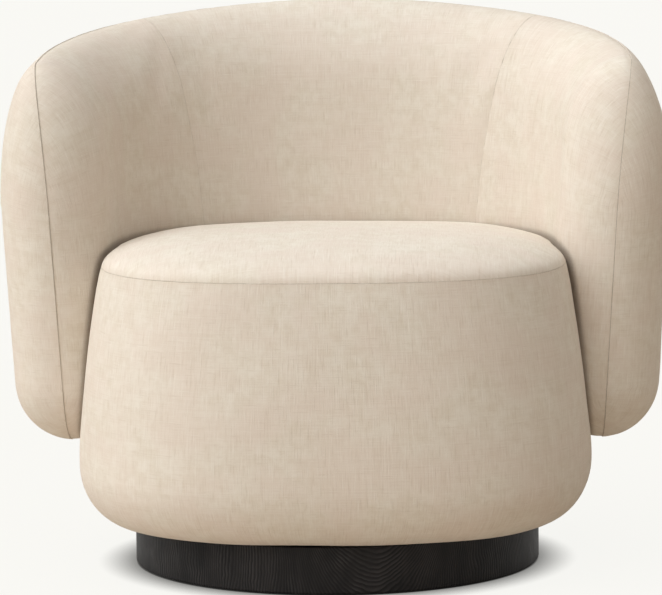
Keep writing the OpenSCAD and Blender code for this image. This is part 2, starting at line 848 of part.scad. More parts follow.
// One rib from the bottom rail to the sloping top rail
module rib(c) {
    rail_drop = abs(top_rail_z(turn(c + 1)) - top_rail_z(turn(c)));
    rail_z = (top_rail_z(turn(c)) + top_rail_z(turn(c + 1))) / 2;
    top = rail_z - rail_drop * ply / (2 * norm(cell_chord(c))) - soft_gap;
    intersection() {
        rotate([90, 0, 0])
            translate([0, 0, -ply / 2])
                linear_extrude(ply)
                    polygon(concat(frame_side(c, 1, outer_frame_inset),
                        reversed(frame_side(c, -1, inner_frame_inset))));
        translate([-shell_width, -ply, bottom_rail_top + soft_gap])
            cube([2 * shell_width, 2 * ply, top - bottom_rail_top - soft_gap]);
    }
}

module shell_ribs() {
    color(ply_colour)
        for (c = both_sides(rib_cells))
            difference() {
                at_cell(c, 0)
                    rib(c);
                if (is_bolted(c))
                    at_cell(c, shell_bolt_z) {
                        along_normal(post_face(c), cell_out(c, 0, shell_bolt_z) + bolt_end + cut,
                            shell_bolt_thread + 2 * running_gap);
                        cross_dowel_bar(c, ply + 2 * cut, cross_dowel_diameter + 2 * running_gap);
                    }
            }
}

module shell_top_rail() {
    turns = [for (k = [-side_columns:side_columns]) turn(k)];
    color(ply_colour)
        slab(
            [for (t = turns) [for (lift = [0, top_rail_height]) plan_place(t, rail_outward, top_rail_z(t) + lift)]],
            [for (t = turns) [for (lift = [0, top_rail_height]) plan_place(t, -rail_inward, top_rail_z(t) + lift)]],
            tip_steps);
}

module inner_lining_board() {
    color(lining_colour)
        difference() {
            shell_layer(-1, inner_core_inset, inner_core_inset + inner_lining, tip_steps, last_column - tip_steps);
            spacer_holes();
        }
}

module outer_lining_board() {
    color(lining_colour)
        shell_layer(1, outer_core_inset, outer_core_inset + outer_lining, tip_steps, last_column - tip_steps);
}

// Wooden spacers between the posts and the ribs, cut to the ribs' lean
module shell_spacers() {
    color(ply_colour)
        for (c = both_sides(bolted_cells))
            at_cell(c, shell_bolt_z)
                difference() {
                    rib_face = cell_out(c, inner_frame_inset - half_thickness, shell_bolt_z) - soft_gap;
                    along_normal(post_face(c), rib_face + shell_thickness, spacer_diameter);
                    translate([rib_face, 0, 0])
                        rotate([0, atan(lean_slope(cell_angle(c))), 0])
                            translate([0, -spacer_diameter, -shell_thickness])
                                cube([2 * shell_thickness, 2 * spacer_diameter, 2 * shell_thickness]);
                    along_normal(post_face(c) - cut, rib_face + 2 * shell_thickness,
                        shell_bolt_thread + 2 * bolt_gap);
                }
}

// Shell bolts: the head lies on the post's inner face and the thread ends past the cross dowel
bolt_end = cross_dowel_diameter / 2 + bolt_past_dowel;
module shell_bolts() {
    color(steel_colour)
        for (c = both_sides(bolted_cells))
            at_cell(c, shell_bolt_z) {
                head = post_face(c) - post_depth;
                along_normal(head, cell_out(c, 0, shell_bolt_z) + bolt_end, shell_bolt_thread);
                along_normal(head - head_height, head, 2 * shell_bolt_thread);
            }
}

module cross_dowel_bar(c, length, diameter) {
    translate([cell_out(c, 0, shell_bolt_z), length / 2, 0])
        rotate([90, 0, 0])
            cylinder(h = length, d = diameter);
}

module cross_dowels() {
    color(steel_colour)
        for (c = both_sides(bolted_cells))
            at_cell(c, shell_bolt_z)
                difference() {
                    cross_dowel_bar(c, ply - 2 * board_gap, cross_dowel_diameter);
                    along_normal(cell_out(c, 0, shell_bolt_z) - cross_dowel_diameter,
                        cell_out(c, 0, shell_bolt_z) + cross_dowel_diameter,
                        shell_bolt_thread + 2 * running_gap);
                }
}

module inner_foam_piece(from_column, to_column) {
    color(foam_colour)
        difference() {
            shell_layer(-1, foam_inset, foam_inset + inner_foam, from_column, to_column);
            spacer_holes();
        }
}

module back_foam() {
    inner_foam_piece(last_column - inner_seam_column, inner_seam_column);
}

module arm_foam_left() {
    inner_foam_piece(0, last_column - inner_seam_column);
}

module arm_foam_right() {
    inner_foam_piece(inner_seam_column, last_column);
}

module outer_padding() {
    color(foam_colour)
        shell_layer(1, foam_inset, foam_inset + outer_foam, 0, last_column);
}

module inner_cover_piece(from_column, to_column) {
    color(fabric_colour)
        difference() {
            shell_layer(-1, 0, cover_thickness, from_column, to_column);
            spacer_holes();
        }
}

module inside_back_cover() {
    inner_cover_piece(last_column - inner_seam_column, inner_seam_column);
}

module inside_arm_cover_left() {
    inner_cover_piece(0, last_column - inner_seam_column);
}

module inside_arm_cover_right() {
    inner_cover_piece(inner_seam_column, last_column);
}

module outer_cover_piece(from_column, to_column) {
    color(fabric_colour)
        shell_layer(1, 0, cover_thickness, from_column, to_column);
}

module outside_back_cover() {
    outer_cover_piece(last_column - outer_seam_column, outer_seam_column);
}

module outside_arm_cover_left() {
    outer_cover_piece(0, last_column - outer_seam_column);
}

module outside_arm_cover_right() {
    outer_cover_piece(outer_seam_column, last_column);
}

glide_ring();
plinth_ring();
plinth_board();
plinth_glue_blocks();
swivel_lower_plate();
swivel_pin();
plinth_screws();
bearing_balls();
ball_cage();
swivel_upper_plate();
seat_bolts();
tee_nuts();
seat_board();
dust_cover();
seat_posts();
seat_ring();
webbing_across();
webbing_front_to_back();
drum_lining_board();
drum_foam();
drum_cover();
seat_foam();
seat_top_cover();
shell_bottom_rail();
shell_ribs();
shell_top_rail();
inner_lining_board();
outer_lining_board();
shell_spacers();
shell_bolts();
cross_dowels();
back_foam();
arm_foam_left();
arm_foam_right();
outer_padding();
inside_back_cover();
inside_arm_cover_left();
inside_arm_cover_right();
outside_back_cover();
outside_arm_cover_left();
outside_arm_cover_right();
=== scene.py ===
import math

import bmesh
import bpy
import numpy as np
from mathutils import Matrix, Vector
from mathutils.kdtree import KDTree


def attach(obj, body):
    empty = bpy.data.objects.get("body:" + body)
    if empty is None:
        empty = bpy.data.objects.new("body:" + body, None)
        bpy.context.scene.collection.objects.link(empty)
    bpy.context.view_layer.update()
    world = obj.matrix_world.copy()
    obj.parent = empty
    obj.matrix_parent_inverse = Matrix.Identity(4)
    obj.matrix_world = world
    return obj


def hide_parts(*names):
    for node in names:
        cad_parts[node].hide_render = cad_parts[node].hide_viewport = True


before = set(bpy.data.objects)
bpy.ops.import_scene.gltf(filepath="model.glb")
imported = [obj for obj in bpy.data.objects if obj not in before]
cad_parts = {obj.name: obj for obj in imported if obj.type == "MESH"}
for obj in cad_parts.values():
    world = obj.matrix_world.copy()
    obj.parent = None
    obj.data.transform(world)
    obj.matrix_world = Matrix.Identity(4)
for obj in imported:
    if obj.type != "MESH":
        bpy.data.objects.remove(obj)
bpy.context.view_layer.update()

# ---- the chair's measures, in metres and radians

# Shell: its plan is a squarish oval. Turns count from the middle of the back, and inner and outer are its two sides
SHELL_HALF_WIDTH = 0.364
BACK_DEPTH = 0.345
FRONT_DEPTH = 0.365
SHELL_SQUARENESS = 2.45
WIDEST_FORWARD = 0.020
HALF_THICKNESS = 0.070
BACK_HEIGHT = 0.721
ARM_HEIGHT = 0.640
RIM_FALL = 0.78
SHELL_BOTTOM = 0.157
RIM_ROUNDING = 0.200
TIP_ROUNDING = 0.080
HEM_ROUNDING = 0.074
ARM_LEAN = math.tan(math.radians(3.4))
BACK_LEAN = math.tan(math.radians(12))
ARM_TURN = math.radians(98)
INNER_SEAM = math.radians(35)
OUTER_SEAM = math.radians(49)
WALL_SLANT = math.radians(2.0)
RIM_SLANT = math.radians(4.6)
INNER_FLAT = 0.45
ARM_FULLNESS = 0.007
ARM_FULL_FROM = math.radians(50)
ARM_FULL_TOP = 0.47
INNER_DEPTH = 0.0396
OUTER_DEPTH = 0.0236
HEM_TOP = SHELL_BOTTOM + HEM_ROUNDING
TIP_TURN = TIP_ROUNDING / SHELL_HALF_WIDTH
STRAIGHT_TURN = ARM_TURN - TIP_TURN
QUARTER_TURN = math.pi / 2

# Drum and seat
DRUM_HALF = 0.331
DRUM_DEPTH_SHARE = 0.98
DRUM_SQUARENESS = 2.7
DRUM_BOTTOM = 0.065
CORNER_IN = 0.060
CORNER_UP = 0.070
SEAM_HALF = 0.3003
SEAM_HEIGHT = 0.393
SIDE_BOW = 1.7
SEAT_CROWN = 0.0435
CROWN_FULLNESS = 2.9
CROWN_START = 0.010
CROWN_FALL = 0.055
CROWN_EASE = 0.04
CROWN_TOP = SEAM_HEIGHT + SEAT_CROWN
SEAT_LEVEL = 0.438
SEAT_FLOOR = 0.3397
CORNER_TOP = DRUM_BOTTOM + CORNER_UP
CORNER_START = DRUM_HALF - CORNER_IN
TACK_WIDTH = 0.013
COVER = 0.0015
DRUM_DEPTH = 0.0256
DRUM_LIP = 0.0045
SEAT_CLEARANCE = 0.0003
LEDGE_CLEARANCE = 0.0002
FOOT_CLEARANCE = 0.0001
HIDDEN_BELOW_SEAM = 0.002

# How the seat's gap and its cloth are measured. Past FLAT_CROWN_SHARE of its width the crown counts as steep
CROWN_LENGTH = 0.30
FLAT_CROWN_SHARE = 0.75
STEEP_CROWN_SHARE = 0.4
CORNER_LENGTH = 1.25
DRUM_GIRTH_SHARE = 0.93

# Fabric: how far pieces stay apart, how the seams are drawn in, how far the filling swells
HALF_GAP = 0.00005
TURN_IN = 0.0004
RIM_SEAM_OUT = 0.010
SEAM_DEPTH = 0.00012
SEAM_ROLL = 0.0005
SOFT_DEPTH = 0.0004
SOFT_REACH = 0.008
PUCKER_DEPTH = 0.00028
PUCKER_REACH = 0.010
TUCK_DEPTH = 0.0050
TUCK_REACH = 0.012
CUT_GAP = 0.0014
SHELL_SWELL = 0.0028
SEAT_SWELL = 0.0012
UNEVEN = 0.0006
PUCKER_LENGTH = 0.016
UNEVEN_LENGTH = 0.16
SEAM_FREE = 0.03
FAR_FROM_SEAM = 0.05
CLOTHS_APART = 0.37

# Grids: the steps between points, the lengths over the roundings that they divide, the share of a step between
# points near an edge, and the share of the height at which a panel's width is taken
TYPICAL_ROUNDING = 0.16
OVER_RIM = 0.23
OVER_HEM = 0.12
OVER_CORNER = 0.1
FINE_STEP = 0.007
COARSE_STEP = 0.015
CUTTER_STEP = 0.009
EDGE_STEP_SHARE = 0.75
WIDTH_TAKEN_AT = 0.6
WELD = 1e-5
WELD_SHIFT = 0.137
SMALL = 1e-6
TINY = 1e-9

# How many points the tables have with which curves are measured, and how many near points give a point its swell
PLAN_TABLE = 2881
GAP_TABLE = 1441
ROUNDING_TABLE = 1200
CROWN_TABLE = 900
PANEL_TABLE = 400
NEIGHBOURS = 9

# The cloth simulation: how near to seams and shell the skin is held, and how far from the seat it swells fully
HELD_AT_SEAM = 0.001
HELD_AT_ROUND_SEAM = 0.002
HELD_AT_SHELL = 0.004
BESIDE_SEAT = 0.02
CLOTH_FRAMES = 20
CLOTH = {
    "quality": 5, "mass": 0.3, "tension_stiffness": 15, "compression_stiffness": 15, "shear_stiffness": 8,
    "bending_stiffness": 0.6, "use_pressure": True, "uniform_pressure_force": 4.0, "vertex_group_mass": "held",
}

# How far the painted shade in a crease reaches, and colours, as linear red, green, blue and alpha
CREASE_REACH = 0.014
LINEN_DEEP = (0.706, 0.624, 0.514, 1)
LINEN_PALE = (0.780, 0.714, 0.616, 1)
LINEN_WARM = (0.738, 0.630, 0.538, 1)
LINEN_SLUB = (0.850, 0.792, 0.704, 1)
# thin yarns' own colour, also used for painted shade in the weave's gaps and beside seams
LINEN_THIN_AND_SHADE = (0.540, 0.430, 0.320, 1)
SEAM_SHADE = (0.120, 0.080, 0.050, 1)
CREASE_SHADE = (0.200, 0.140, 0.090, 1)
OAK_DARK = (0.0070, 0.0062, 0.0060, 1)
OAK_WORN = (0.0180, 0.0160, 0.0156, 1)
OAK_RING = (0.0500, 0.0460, 0.0450, 1)
OAK_PORE = (0.0030, 0.0027, 0.0025, 1)
BIRCH_PALE = (0.640, 0.480, 0.300, 1)
BIRCH_DEEP = (0.500, 0.340, 0.190, 1)
BIRCH_ACROSS = (0.300, 0.180, 0.090, 1)
BIRCH_GLUE = (0.090, 0.050, 0.025, 1)
HARDBOARD_DEEP = (0.150, 0.085, 0.045, 1)
HARDBOARD_PALE = (0.250, 0.150, 0.085, 1)
HARDBOARD_FIBRE = (0.400, 0.270, 0.160, 1)
ZINC_BRIGHT = (0.640, 0.660, 0.690, 1)
ZINC_DULL = (0.420, 0.430, 0.430, 1)
STEEL_BRIGHT = (0.720, 0.730, 0.750, 1)
STEEL_DULL = (0.500, 0.500, 0.500, 1)
NYLON_PALE = (0.760, 0.710, 0.600, 1)
NYLON_DEEP = (0.660, 0.600, 0.480, 1)
NYLON_GREASE = (0.420, 0.360, 0.250, 1)
FELT_DARK = (0.004, 0.004, 0.004, 1)
FELT_PALE = (0.016, 0.015, 0.015, 1)
CLOTH_DARK = (0.003, 0.003, 0.003, 1)
CLOTH_PALE = (0.010, 0.010, 0.010, 1)
LINT = (0.120, 0.110, 0.100, 1)
WEBBING_DARK = (0.008, 0.008, 0.009, 1)
WEBBING_PALE = (0.050, 0.050, 0.055, 1)
WEBBING_LINE = (0.350, 0.330, 0.290, 1)

# Studio: each light's name, its strength on a surface that faces it, its spread in degrees and where it stands
STUDIO_LIGHTS = (
    ("ceiling", 0.53, 85, (0, 0, 1)),
    ("left_window", 0.73, 75, (-0.8, -0.3, 0.6)),
    ("front_reflector", 0.09, 60, (-0.2, -0.9, 0.4)),
)
LIGHT_COLOUR = (0.970, 1.0, 1.025)
ROOM_COLOUR = (1.0, 0.80, 0.60, 1)
ROOM_LIGHT = 0.13
BACKDROP = (0.939, 0.930, 0.896, 1)
FLOOR_LIT = (0.620, 0.540, 0.450, 1)
FLOOR_SEEN = (0.972, 0.969, 0.936, 1)
FLOOR_GLOW = 0.93
# The floor's painted contact shadow, which darkens its glow near the chair: how far it reaches and how dark it is
PAINTED_SHADOW_REACH = 0.052
PAINTED_SHADOW_DARKNESS = 1.9
FLOOR_REACH = 60

# Camera, fitted to the photograph's ellipses
SENSOR_WIDTH = 36
LENS = 188.92
LENS_SHIFT = -4 / 662
CAMERA_DISTANCE = 4.5
CAMERA_HEIGHT = 0.858
CAMERA_TURN = math.radians(2.0)
CAMERA_PITCH = math.radians(6.54)
CAMERA_ROLL = math.radians(-0.6)

# The plinth's figure and the webbing. FIGURE_ARCH: where the arches begin and stop easing off to the side, and how
# steep they are before and after
PLINTH_RADIUS = 0.264
FIGURE_TURN = 0.206
FIGURE_WIDTH = 0.055
FIGURE_WANDER = 0.030
FIGURE_ARCH = (0.04, 0.13, 0.60, 0.0)
WEBBING_RIB = 0.004
WEBBING_STRIPE = 0.03


# ---- forms of the shell

def plan_radius(turn):
    side, ahead = np.abs(np.sin(turn)), np.abs(np.cos(turn))
    depth = np.where(np.cos(turn) > 0, BACK_DEPTH, FRONT_DEPTH)
    n = SHELL_SQUARENESS
    return ((side / SHELL_HALF_WIDTH) ** n + (ahead / depth) ** n) ** (-1 / n)


def plan_point(turn):
    r = plan_radius(turn)
    return np.stack([r * np.sin(turn), r * np.cos(turn) - WIDEST_FORWARD], -1)


def plan_normal(turn):
    r = plan_radius(turn)
    x, y = r * np.sin(turn), r * np.cos(turn)
    depth = np.where(y > 0, BACK_DEPTH, FRONT_DEPTH)
    n = SHELL_SQUARENESS
    across = np.sign(x) * (np.abs(x) / SHELL_HALF_WIDTH) ** (n - 1) / SHELL_HALF_WIDTH
    along = np.sign(y) * (np.abs(y) / depth) ** (n - 1) / depth
    length = np.hypot(across, along)
    return np.stack([across / length, along / length], -1)


def rim_height(turn):
    fall = np.minimum(np.abs(turn) * RIM_FALL, QUARTER_TURN)
    return ARM_HEIGHT + (BACK_HEIGHT - ARM_HEIGHT) * np.cos(fall) ** 2


def lean(turn, z):
    share = np.cos(np.minimum(np.abs(turn), QUARTER_TURN)) ** 2
    return (z - SEAT_LEVEL) * (ARM_LEAN + (BACK_LEAN - ARM_LEAN) * share)


def running(steps):
    """The length up to each point of a line, from the steps between them."""
    return np.concatenate([[0], np.cumsum(steps)])


def step_lengths(points):
    return np.linalg.norm(np.diff(points, axis=0), axis=1)


def smooth(share):
    share = np.clip(share, 0, 1)
    return share * share * (3 - 2 * share)


def plan_lengths(turn):
    """Length along the shell's plan from the middle of the back."""
    table = np.linspace(-math.pi, math.pi, PLAN_TABLE)
    run = running(step_lengths(plan_point(table)))
    run -= np.interp(0, table, run)
    return np.interp(turn, table, run)


def rounding(rise):
    return np.where(rise > 0, RIM_ROUNDING, HEM_ROUNDING)


def flat_share(side, corner):
    """The share of the rounding that stays flat before it turns over, which only the inner side does. corner is 0
    towards the rim and a quarter turn towards the arm's tip."""
    return np.where(side < 0, INNER_FLAT * np.cos(corner) ** 2, 0.0)


def half_thickness(side, turn, z):
    """Half the shell's thickness. The arms' inner side is fuller low down, where the filling settles."""
    ahead = smooth((np.abs(turn) - ARM_FULL_FROM) / (STRAIGHT_TURN - ARM_FULL_FROM))
    low = smooth((ARM_FULL_TOP - z) / (ARM_FULL_TOP - HEM_TOP))
    return HALF_THICKNESS + np.where(side < 0, ARM_FULLNESS * ahead * low, 0.0)


def shell_skin(spot, side, inset=0.0):
    """Points of the shell's skin. spot is (turn, tip, share, rise, bulge, out): how far round the plan, out in the
    arm's rounded tip, up the straight part and out in the rim's or the hem's rounding, the share of the thickness
    there, and how far over the rounding, measured on the skin."""
    turn, tip, share, rise, bulge = spot[:5]
    turn = turn + tip * (TIP_TURN - inset / SHELL_HALF_WIDTH)
    z = HEM_TOP + share * (rim_height(turn) - RIM_ROUNDING - HEM_TOP) + rise * (rounding(rise) - inset)
    out = side * (half_thickness(side, turn, z) - inset) * bulge + lean(turn, z)
    place = plan_point(turn) + plan_normal(turn) * out[..., None]
    return np.concatenate([place, z[..., None]], -1)


def shell_gap(points):
    """About how far each point lies outside the shell's skin."""
    table = np.linspace(-math.pi, math.pi, GAP_TABLE)
    line = plan_point(table)
    nearest = np.empty(len(points), int)
    for start in range(0, len(points), 4000):
        part = points[start:start + 4000, None, :2] - line[None]
        nearest[start:start + len(part)] = np.argmin((part ** 2).sum(-1), axis=1)
    turn, z = table[nearest], points[:, 2]
    out = ((points[:, :2] - line[nearest]) * plan_normal(turn)).sum(-1) - lean(turn, z)
    rim = rim_height(turn)
    tip = np.maximum(0, np.abs(turn) - STRAIGHT_TURN) / TIP_TURN
    up = np.maximum(0, z - (rim - RIM_ROUNDING)) / RIM_ROUNDING
    down = np.maximum(0, HEM_TOP - z) / HEM_ROUNDING
    level = np.sqrt(tip ** 2 + up ** 2 + down ** 2)
    flat = flat_share(np.sign(out), np.arctan2(tip + down, up))
    turned = np.maximum(0, level - flat) / (1 - flat)
    reach = np.sqrt((tip * TIP_ROUNDING) ** 2 + (up * RIM_ROUNDING) ** 2 + (down * HEM_ROUNDING) ** 2)
    reach = np.maximum(reach, SMALL) / np.maximum(level, SMALL) * (1 - flat)
    half = half_thickness(np.sign(out), turn, z)
    size = np.maximum(np.hypot(turned, out / half), SMALL)
    slope = np.hypot(turned / reach, out / half ** 2) / size
    return np.where(turned > SMALL, (size - 1) / np.maximum(slope, SMALL), np.abs(out) - half)


# ---- forms of the drum and the seat

def drum_plan(turn):
    """turn is from the middle of the front towards +X."""
    n = DRUM_SQUARENESS
    return (np.abs(np.sin(turn)) ** n + (np.abs(np.cos(turn)) / DRUM_DEPTH_SHARE) ** n) ** (-1 / n)


def drum_side(z):
    rise = np.clip((z - CORNER_TOP) / (SEAM_HEIGHT - CORNER_TOP), 0, 1)
    return DRUM_HALF - (DRUM_HALF - SEAM_HALF) * rise ** SIDE_BOW


def drum_reach(points):
    """The drum's plan turn and half width on which each point lies."""
    turn = np.arctan2(points[:, 0], -points[:, 1])
    return turn, np.hypot(points[:, 0], points[:, 1]) / drum_plan(turn)


def seat_gap(points):
    """About how far each point lies outside the drum and the seat."""
    _, half = drum_reach(points)
    z = points[:, 2]
    crown = np.sqrt((half / SEAM_HALF) ** 2 + (np.maximum(0, z - SEAM_HEIGHT) / SEAT_CROWN) ** 2) - 1
    scale = np.where(half < FLAT_CROWN_SHARE * SEAM_HALF, SEAT_CROWN, SEAM_HALF * STEEP_CROWN_SHARE)
    return np.where(z > SEAM_HEIGHT, crown * scale, half - drum_side(z))


# ---- grids of points

NEAR_SEAM = np.array([0, 0.3, 0.8, 1.4, 2.2, 3.2, 4.5, 6.2, 8.5, 11.5, 15.5, 20.5]) * 0.001


def graded(length, step, fine):
    """Distances from a seam up to length: close together by the seam, a step apart farther off."""
    near = NEAR_SEAM if fine else np.zeros(1)
    rest = length - near[-1]
    count = max(1, round(rest / step))
    return np.concatenate([near, near[-1] + rest * np.arange(1, count + 1) / count])


def quads(rows, columns, start, closed=False):
    i, j = np.meshgrid(np.arange(rows - 1), np.arange(columns if closed else columns - 1), indexing="ij")
    a, b = i * columns + j, i * columns + (j + 1) % columns
    return start + np.stack([a, b, b + columns, a + columns], -1).reshape(-1, 4)


def welded(points, faces):
    """Which welded point each point becomes, the first point of each, and the faces on them."""
    keys = np.floor(points / WELD + WELD_SHIFT).astype(np.int64)
    _, first, index = np.unique(keys, axis=0, return_index=True, return_inverse=True)
    index = index.reshape(-1)
    kept = []
    for face in index[faces]:
        corners = [c for k, c in enumerate(face) if c != face[k - 1]]
        if len(corners) > 2:
            kept.append(corners)
    return first, kept


def border_edges(faces):
    """Edges with a face on one side only, each in its face's direction."""
    seen = dict.fromkeys((corner, face[(k + 1) % len(face)]) for face in faces for k, corner in enumerate(face))
    return [edge for edge in seen if edge[::-1] not in seen]


def vertex_normals(points, faces):
    normals = np.zeros_like(points)
    for count in (3, 4):
        group = np.array([face for face in faces if len(face) == count])
        if len(group):
            corners = points[group]
            flat = np.cross(corners[:, 2] - corners[:, 0], corners[:, -1] - corners[:, 1])
            for k in range(count):
                np.add.at(normals, group[:, k], flat)
    return normals / np.maximum(np.linalg.norm(normals, axis=1, keepdims=True), 1e-12)


def new_object(name, data):
    made = bpy.data.objects.new(name, data)
    bpy.context.scene.collection.objects.link(made)
    return made


def make_mesh(name, points, faces):
    mesh = bpy.data.meshes.new(name)
    mesh.from_pydata(points.tolist(), [], [[int(c) for c in face] for face in faces])
    work = bmesh.new()
    work.from_mesh(mesh)
    bmesh.ops.recalc_face_normals(work, faces=work.faces)
    if work.calc_volume(signed=True) < 0:
        bmesh.ops.reverse_faces(work, faces=work.faces)
    work.to_mesh(mesh)
    work.free()
    mesh.polygons.foreach_set("use_smooth", [True] * len(mesh.polygons))
    return new_object(name, mesh)


def mesh_points(mesh):
    flat = np.empty(len(mesh.vertices) * 3)
    mesh.vertices.foreach_get("co", flat)
    return flat.reshape(-1, 3)


# ---- how fabric lies: seams, puckers, swell

def drawn_in(distance):
    """How far a seam pulls the skin in at that distance from it."""
    return SEAM_DEPTH * np.exp(-distance / SEAM_ROLL) + SOFT_DEPTH * np.exp(-(distance / SOFT_REACH) ** 2)


def waves(cloth, length, seed, count=14):
    """Smooth unevenness between about -1 and 1 over the cloth, in waves of about that length."""
    rng = np.random.default_rng(seed)
    total = np.zeros(len(cloth))
    for _ in range(count):
        angle, phase = rng.uniform(0, math.tau, 2)
        pitch = math.tau / (length * rng.uniform(0.7, 1.5))
        total += np.sin(pitch * (cloth[:, 0] * math.cos(angle) + cloth[:, 1] * math.sin(angle)) + phase)
    return total / math.sqrt(count / 2) / 2


def settle(points, normals, cloth, seam, seed):
    """Draws the skin in at its seams, with small puckers, and makes it slightly uneven as hand work is."""
    pucker = PUCKER_DEPTH * waves(cloth, PUCKER_LENGTH, seed) * np.exp(-seam / PUCKER_REACH)
    uneven = UNEVEN * waves(cloth, UNEVEN_LENGTH, seed + 1) * np.clip(seam / SEAM_FREE, 0, 1)
    return points + normals * (pucker + uneven - drawn_in(seam))[:, None]


def cloth_swell(points, faces, held, most, skin, fine):
    """How far fine points move, at most about most, as a coarse copy swells like cloth under pressure. skin is how
    many of the copy's points are on its skin."""
    scene = bpy.context.scene
    copy = make_mesh("swelling_copy", points, faces)
    group = copy.vertex_groups.new(name="held")
    group.add([int(k) for k in np.flatnonzero(held)], 1.0, "REPLACE")
    cloth = copy.modifiers.new("cloth", "CLOTH")
    for name, value in CLOTH.items():
        setattr(cloth.settings, name, value)
    cloth.settings.effector_weights.gravity = 0
    cloth.collision_settings.use_collision = False
    cloth.point_cache.frame_start, cloth.point_cache.frame_end = 1, CLOTH_FRAMES
    for step in range(1, CLOTH_FRAMES + 1):
        scene.frame_set(step)
    depsgraph = bpy.context.evaluated_depsgraph_get()
    moved = mesh_points(copy.evaluated_get(depsgraph).to_mesh()) - points
    scene.frame_set(1)
    bpy.data.objects.remove(copy)
    far = np.linalg.norm(moved, axis=1, keepdims=True)
    moved = moved * np.where(far > TINY, most * np.tanh(far / most) / np.maximum(far, TINY), 0)
    return carried_over(points[:skin], moved[:skin], fine)


def carried_over(coarse, moved, points):
    """Spreads the coarse copy's movement smoothly over the fine points."""
    tree = KDTree(len(coarse))
    for k, p in enumerate(coarse):
        tree.insert(p, k)
    tree.balance()
    result = np.zeros_like(points)
    for k, p in enumerate(points):
        near = tree.find_n(p, NEIGHBOURS)
        index = [n[1] for n in near]
        weight = np.exp(-(np.array([n[2] for n in near]) / COARSE_STEP) ** 2) + TINY
        result[k] = (moved[index] * weight[:, None]).sum(0) / weight.sum()
    return result


# ---- shell panels

def rounding_line(side, corner, hem=False):
    """A section through the rounding from its edge inwards: lengths, shares out and shares of the thickness."""
    flat = 0.0 if hem else float(flat_share(side, corner))
    reach = math.hypot(TIP_ROUNDING * math.sin(corner), (HEM_ROUNDING if hem else RIM_ROUNDING) * math.cos(corner))
    angle = QUARTER_TURN * np.linspace(0, 1, ROUNDING_TABLE) ** 2
    out = np.append(flat + (1 - flat) * np.cos(angle), 0)
    bulge = np.append(np.sin(angle), 1)
    return running(np.hypot(reach * np.diff(out), HALF_THICKNESS * np.diff(bulge))), out, bulge


def edge_levels(step, fine, side, gap, corner=QUARTER_TURN, hem=False):
    """From the rounding's start out to the seam round the edge: the shares of the way out, of the thickness and of
    the way over the skin, and the distance from the seam. Over the rim the seam is set outwards."""
    run, out, bulge = rounding_line(side, corner, hem)
    past = (0 if hem else -side * RIM_SEAM_OUT * math.cos(corner) ** 2) - gap
    steps = graded(TYPICAL_ROUNDING, step * EDGE_STEP_SHARE, fine)[::-1, None]
    reach = steps * (run[-1] + past) / TYPICAL_ROUNDING
    inside = reach - past
    beyond = np.minimum(inside, 0) / HALF_THICKNESS
    level = np.where(inside > 0, np.interp(inside, run, out), np.cos(beyond))
    thick = np.where(inside > 0, np.interp(inside, run, bulge), np.sin(beyond))
    return level, thick, 1 - inside / run[-1], reach


def block(*coordinates):
    return [np.array(a, float) for a in np.broadcast_arrays(*coordinates)]


def slanted(turn, share, rise, side):
    """Turns the inner seams outwards, more and more towards the rim, and what lies beside them with them."""
    if side >= 0:
        return turn
    most = WALL_SLANT * share + RIM_SLANT * np.maximum(rise, 0)
    beside = (STRAIGHT_TURN - np.abs(turn)) / (STRAIGHT_TURN - INNER_SEAM)
    return turn + np.sign(turn) * most * np.clip(np.minimum(np.abs(turn) / INNER_SEAM, beside), 0, 1)


def panel_blocks(arm, edge, side, step, fine, gap=HALF_GAP):
    """The middle panel out to its seams at edge or, with arm, the panel from its seam there round the right arm's
    tip. A block is a spot's six coordinates and its distance to a seam."""
    turns = np.linspace(edge if arm else 0, STRAIGHT_TURN if arm else edge, PANEL_TABLE)
    run = running(step_lengths(shell_skin([turns, 0, WIDTH_TAKEN_AT, 0, 1, 0], side)))
    seam = graded(run[-1], step, fine)
    turn = np.interp(seam if arm else run[-1] - seam, run, turns)
    if not arm:
        turn, seam = np.append(-turn, turn[::-1][1:]), np.append(seam, seam[::-1][1:])
    turn, seam = turn[None], seam[None]
    share = np.linspace(0, 1, round((ARM_HEIGHT - RIM_ROUNDING - HEM_TOP) / step) + 1)
    rim, *rim_skin, rim_reach = edge_levels(step, fine, side, gap, 0)
    hem, *hem_skin, hem_reach = edge_levels(step, fine, side, gap, 0, True)
    rim = block(slanted(turn, 1, rim, side), 0, 1, rim, *rim_skin, np.minimum(seam, rim_reach))
    straight = block(slanted(turn, share[:, None], 0, side), 0, share[:, None], 0, 1, 0, seam)
    hem = block(turn[:, ::-1], 0, 0, -hem, *hem_skin, np.minimum(seam[:, ::-1], hem_reach))
    if not arm:
        return [rim, straight, hem]
    upper, lower = (np.linspace(0, QUARTER_TURN, round(over / step) + 1)[None] for over in (OVER_RIM, OVER_HEM))
    around = [edge_levels(step, fine, side, gap, corner) for corner in upper[0]]
    top, *top_skin = (np.concatenate(columns, 1) for columns in zip(*around))
    tip, *tip_skin = edge_levels(step, fine, side, gap)
    return [
        rim,
        block(STRAIGHT_TURN, top * np.sin(upper), 1, top * np.cos(upper), *top_skin),
        block(STRAIGHT_TURN, tip, share[None, ::-1], 0, *tip_skin),
        block(STRAIGHT_TURN, tip * np.cos(lower), 0, -tip * np.sin(lower), *tip_skin),
        hem,
        straight,
    ]


